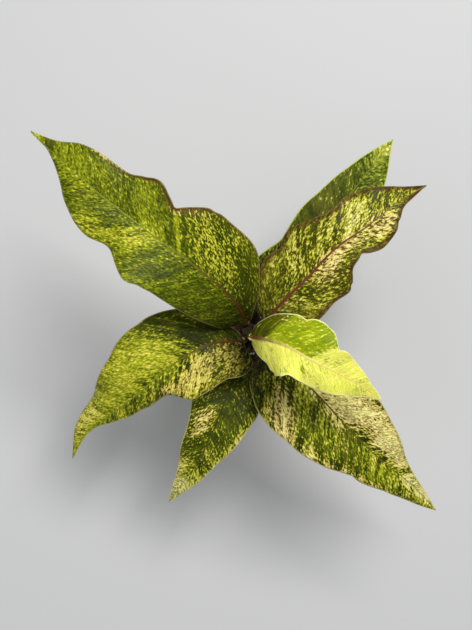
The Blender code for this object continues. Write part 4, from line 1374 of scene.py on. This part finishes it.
SCATTERS = {  # to the square metre, nearest and furthest out, half sizes and roughness in mm, and seed
    "bark_chips": (130000.0, 11.5, 37.5, (0.7, 0.6, 0.3), (2.6, 1.7, 0.8), 0.9, 4),
    "perlite_grains": (34000.0, 10, 38, (0.5, 0.5, 0.4), (1.4, 1.3, 1.0), 0.6, 9),
}
lump_finishes = {
    "bark_chips": lump_finish("bark", (0.030, 0.016, 0.009), (0.21, 0.115, 0.055), 0.85),
    "perlite_grains": lump_finish("perlite", (0.52, 0.50, 0.46), (0.82, 0.81, 0.78), 0.9),
}
for name, (density, nearest, furthest, smallest, largest, roughness, seed) in SCATTERS.items():
    obj = link(mix.data.copy(), name)
    values = {
        "Density": density,
        "Nearest": nearest * MM,
        "Furthest": furthest * MM,
        "Smallest": tuple(size * MM for size in smallest),
        "Largest": tuple(size * MM for size in largest),
        "Roughness": roughness * MM,
        "Seed": seed,
        "Finish": lump_finishes[name],
    }
    run_tree(obj, scatter, values)
    obj.data.shade_smooth()
    dress(obj, None, "potting_mix")

# %% [markdown]
# ## Large chips
#
# A few coarse chips stand well out of the mix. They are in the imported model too, so they are made from the
# same seed and lie in the same places, then cut finer and roughened. The roughness is a noise that gives a
# direction as well as a size. It needs a seed of its own, because it would otherwise start from the clock and
# make another surface in every run.

# %% The large chips
CHIPS, CHIP_SEED, NOISE_SEED = 24, 11, 5
CHIP_NEAREST, CHIP_FURTHEST, CHIP_RISE = 17 * MM, 33 * MM, 0.4 * MM
CHIP_SIZES = ((2.6, 4.8), (2.0, 3.2), (1.2, 2.0))  # half its length, width and thickness, in mm
CHIP_GRAIN, CHIP_ROUGHNESS = 1.5 * MM, 0.25 * MM


def fused(meshes, name):
    """One mesh of several, which are then removed."""
    whole = bmesh.new()
    for mesh in meshes:
        whole.from_mesh(mesh)
        bpy.data.meshes.remove(mesh)
    made = bpy.data.meshes.new(name)
    whole.to_mesh(made)
    whole.free()
    return made


def large_chip(rng):
    chip = bmesh.new()
    bmesh.ops.create_icosphere(chip, subdivisions=1, radius=1.0)
    for vert in chip.verts:
        vert.co *= rng.uniform(0.8, 1.2)
    x, y, _ = round_point(rng.uniform(CHIP_NEAREST, CHIP_FURTHEST), rng.uniform(0, 360), 0)
    spot = Vector((x, y, mix_height(x, y) + CHIP_RISE))
    size = Matrix.Diagonal((*(rng.uniform(*limits) * MM for limits in CHIP_SIZES), 1))
    tilt = Matrix.Rotation(rng.uniform(-0.4, 0.4), 4, "X")
    turn = Matrix.Rotation(rng.uniform(0, math.tau), 4, "Z")
    bmesh.ops.subdivide_edges(chip, edges=chip.edges, cuts=3, use_grid_fill=True, smooth=0.35)
    bmesh.ops.transform(chip, matrix=Matrix.Translation(spot) @ turn @ tilt @ size, verts=chip.verts)
    for vert in chip.verts:
        vert.co += noise.noise_vector(vert.co / CHIP_GRAIN) * CHIP_ROUGHNESS
    mesh = bpy.data.meshes.new("chip")
    chip.to_mesh(mesh)
    chip.free()
    return mesh


rng = random.Random(CHIP_SEED)
noise.seed_set(NOISE_SEED)
chips = link(fused([large_chip(rng) for _ in range(CHIPS)], "bark_pieces"), "bark_pieces")
chips.data.shade_smooth()
dress(chips, None, "potting_mix", lump_finishes["bark_chips"])

# %% [markdown]
# ## The stem and its roots
#
# An old anthurium stem is ringed by the scars of fallen leaves, and thick pale roots leave it just above the
# mix. The roots should flow out of the stem, not pierce it. So stem and roots are made as overlapping skins
# and remade as one surface by a voxel remesh, which melts the joints together.

# %% Skins of the stem and the roots
ROOT_AZIMUTHS = (32, 98, 178, 226, 280, 338)
ROOT_RADIUS, ROOT_TAPER = 1.4 * MM, 0.27
ROOT_POINTS, ROOT_SIDES = 40, 16
STEM_SIDES, STEM_RINGS = 56, 130
DOME_HEIGHT = 2.2 * MM


def tube_rings(line, radii, sides):
    ahead = unit(np.gradient(line, axis=0))
    across = unit(np.cross(UP, ahead))
    over = np.cross(ahead, across)
    angles = math.tau * np.arange(sides) / sides
    circle = np.cos(angles)[None, :, None] * across[:, None] + np.sin(angles)[None, :, None] * over[:, None]
    return line[:, None] + radii[:, None, None] * circle


def root_line(azimuth, number):
    """An arch from inside the stem, out over the mix and down into it. Reach and height differ a little."""
    reach = (17 + 2.5 * math.cos(2.1 * number)) * MM
    leaves_at = MIX_LEVEL + (6 + 1.5 * math.sin(3.7 * number)) * MM
    start = round_point(STEM_RADIUS * 0.3, azimuth, leaves_at - 1 * MM)
    crest = round_point(reach * 0.62, azimuth + 5, leaves_at + 2.5 * MM)
    dive = round_point(reach, azimuth + 9, leaves_at - 3 * MM)
    end = round_point(reach + 1 * MM, azimuth + 11, MIX_LEVEL - 12 * MM)
    return bezier(start, crest, dive, end, np.linspace(0, 1, ROOT_POINTS))


heights = np.linspace(STEM_FOOT, STEM_TOP, STEM_RINGS)
wall = np.stack((stem_radius(heights), heights), axis=-1)
rise = np.linspace(0.1, 0.97, 8) * math.pi / 2
dome = np.stack((stem_radius(STEM_TOP) * np.cos(rise), STEM_TOP + DOME_HEIGHT * np.sin(rise)), axis=-1)
skins = [skin("stem_part", turned_rings(np.vstack((wall, dome)), STEM_SIDES))]
root_radii = ROOT_RADIUS * (1 - ROOT_TAPER * np.linspace(0, 1, ROOT_POINTS))
for number, azimuth in enumerate(ROOT_AZIMUTHS):
    skins.append(skin("root_part", tube_rings(root_line(azimuth, number), root_radii, ROOT_SIDES)))
print("stem and", len(ROOT_AZIMUTHS), "roots:", sum(len(part.vertices) for part in skins), "points")

# %% One skin of them all
VOXEL_SIZE = 0.42 * MM
STEM_GRAIN, STEM_ROUGHNESS = 2.2 * MM, 0.16 * MM

stem = link(fused(skins, "stem_fine"), "stem_fine")
remesh = stem.modifiers.new("one_skin", "REMESH")
remesh.mode = "VOXEL"
remesh.voxel_size = VOXEL_SIZE
smooth = stem.modifiers.new("soften", "SMOOTH")
smooth.factor = 0.5
smooth.iterations = 3
stem_mesh = bpy.data.meshes.new_from_object(stem.evaluated_get(bpy.context.evaluated_depsgraph_get()))
stem.modifiers.clear()
stem.data = stem_mesh
for vert in stem.data.vertices:
    vert.co += noise.noise_vector(vert.co / STEM_GRAIN) * STEM_ROUGHNESS
stem.data.shade_smooth()
print("stem and roots in one skin:", len(stem.data.vertices), "points")

# %% Their bark, kept dark partly as painted shade
ROOTS_FROM, ROOTS_FULL = 7.5 * MM, 9.5 * MM  # how far out the stem's tone gives way to the roots'

bark_finish, tree, shader, height = finish_material("stem_skin", 0.7, 0.35 * MM)
place = object_place(tree)
x, y, z = parts_of(tree, place)
scars = stepped(tree, sum_of(tree, "SINE", product(tree, z, math.tau / SCAR_SPACING)), 0.4, 0.95)
mottle = noise_value(tree, place, 260.0, 4.0, 0.6)
# The bark's two tones are dark partly for the stem's own brown, partly as painted shade from the leaves over it
bark = mixed(tree, stepped(tree, mottle, 0.3, 0.7), (0.040, 0.034, 0.016), (0.13, 0.105, 0.050))
bark = mixed(tree, product(tree, scars, 0.7), bark, (0.045, 0.028, 0.015))
root_tone = mixed(tree, mottle, (0.16, 0.13, 0.075), (0.38, 0.33, 0.20))
is_root = stepped(tree, distance_out(tree, x, y), ROOTS_FROM, ROOTS_FULL)
feed(tree, shader.inputs["Base Color"], mixed(tree, is_root, bark, root_tone))
feed(tree, height, mottle)
dress(stem, "stem", "stem_bark", bark_finish)

# %% [markdown]
# ## The dry sheaths
#
# Each leaf bud was wrapped in a sheath, which dries to a brown, fibrous scale and stays on the stem. The
# scale is a thin skin with its sides bent in round the stem. Its edge is a little torn, and its finish is
# drawn out along it.

# %% The sheaths' form
SHEATHS = {  # direction in degrees, height on the stem, length and width in mm
    "sheath_1": (128, 82, 19, 6),
    "sheath_2": (166, 86, 24, 6),
    "sheath_3": (346, 84, 24, 6),
}
SHEATH_LEAN, SHEATH_HOLLOW = 0.42, 0.35
SHEATH_STATIONS, SHEATH_COLUMNS = 60, 19
SHEATH_FROM, SHEATH_TO = 0.12, 0.97  # the shares of its length between which it stands free of the bark
TEARS, PLEATS = 41, 14
TEAR_DEPTH, PLEAT_DEPTH, PAPER_THICKNESS = 0.25 * MM, 0.1 * MM, 0.35 * MM
TIP_WIDTH = 0.45 * MM


def sheath_rings(azimuth, height, length, width):
    """Rings along the scale, each out over its outer face and back over the inner one."""
    out = round_point(1.0, azimuth, 0)
    side = np.cross(UP, out)
    start = round_point(STEM_RADIUS * 0.5, azimuth, (height - 1) * MM)
    length, width = length * MM, width * MM / 2
    share = np.linspace(SHEATH_FROM, SHEATH_TO, SHEATH_STATIONS)[:, None, None]
    across = np.linspace(1, -1, SHEATH_COLUMNS)[None, :, None]
    centre = start + UP * length * share + out * length * SHEATH_LEAN * (share + 0.45 * share**2)
    torn = TEAR_DEPTH * np.sin(TEARS * share + azimuth) * np.abs(across) ** 3
    half_width = width * (1 - share**2.2) + TIP_WIDTH - np.abs(torn)
    bend = -SHEATH_HOLLOW * half_width * across**2
    pleat = PLEAT_DEPTH * np.cos(across * PLEATS)
    thick = PAPER_THICKNESS * (1 - 0.6 * across**2) * (1 - 0.5 * share)
    faces = [centre + side * across * half_width + out * (bend + pleat + wall * thick) for wall in (-1, 1)]
    return np.concatenate((faces[0], faces[1][:, ::-1]), axis=1)


print(len(SHEATHS), "sheaths of", sheath_rings(*SHEATHS["sheath_1"]).shape[0], "rings")

# %% Their paper
sheath_finish, tree, shader, height = finish_material("papery_sheath", 0.75, 0.2 * MM)
place = object_place(tree)
fibres = drawn_out_noise(tree, place, (1, 1, 0.12), 1500.0, 3.0)
blots = noise_value(tree, place, 220.0, 3.0)
paper = mixed(tree, stepped(tree, fibres, 0.35, 0.65), (0.085, 0.045, 0.020), (0.30, 0.19, 0.095))
paper = mixed(tree, stepped(tree, blots, 0.55, 0.75), paper, (0.055, 0.028, 0.014))
feed(tree, shader.inputs["Base Color"], paper)
feed(tree, height, fibres)
for name, sizes in SHEATHS.items():
    obj = link(skin(name + "_fine", sheath_rings(*sizes)), name + "_fine")
    dress(obj, name, "dry_sheath", sheath_finish)

# %% [markdown]
# ## The size at the end
#
# The dressed plant should stay inside the imported model's box, so the sizes of both boxes are printed.

# %% Print the sizes of the two boxes
dressed_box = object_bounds()
boxes = {
    "cad": [list(map(float, corner)) for corner in cad_box],
    "visual": [list(map(float, corner)) for corner in dressed_box],
}
for name, (low, high) in boxes.items():
    print(name, "box in mm:", [round((b - a) / MM, 1) for a, b in zip(low, high)])
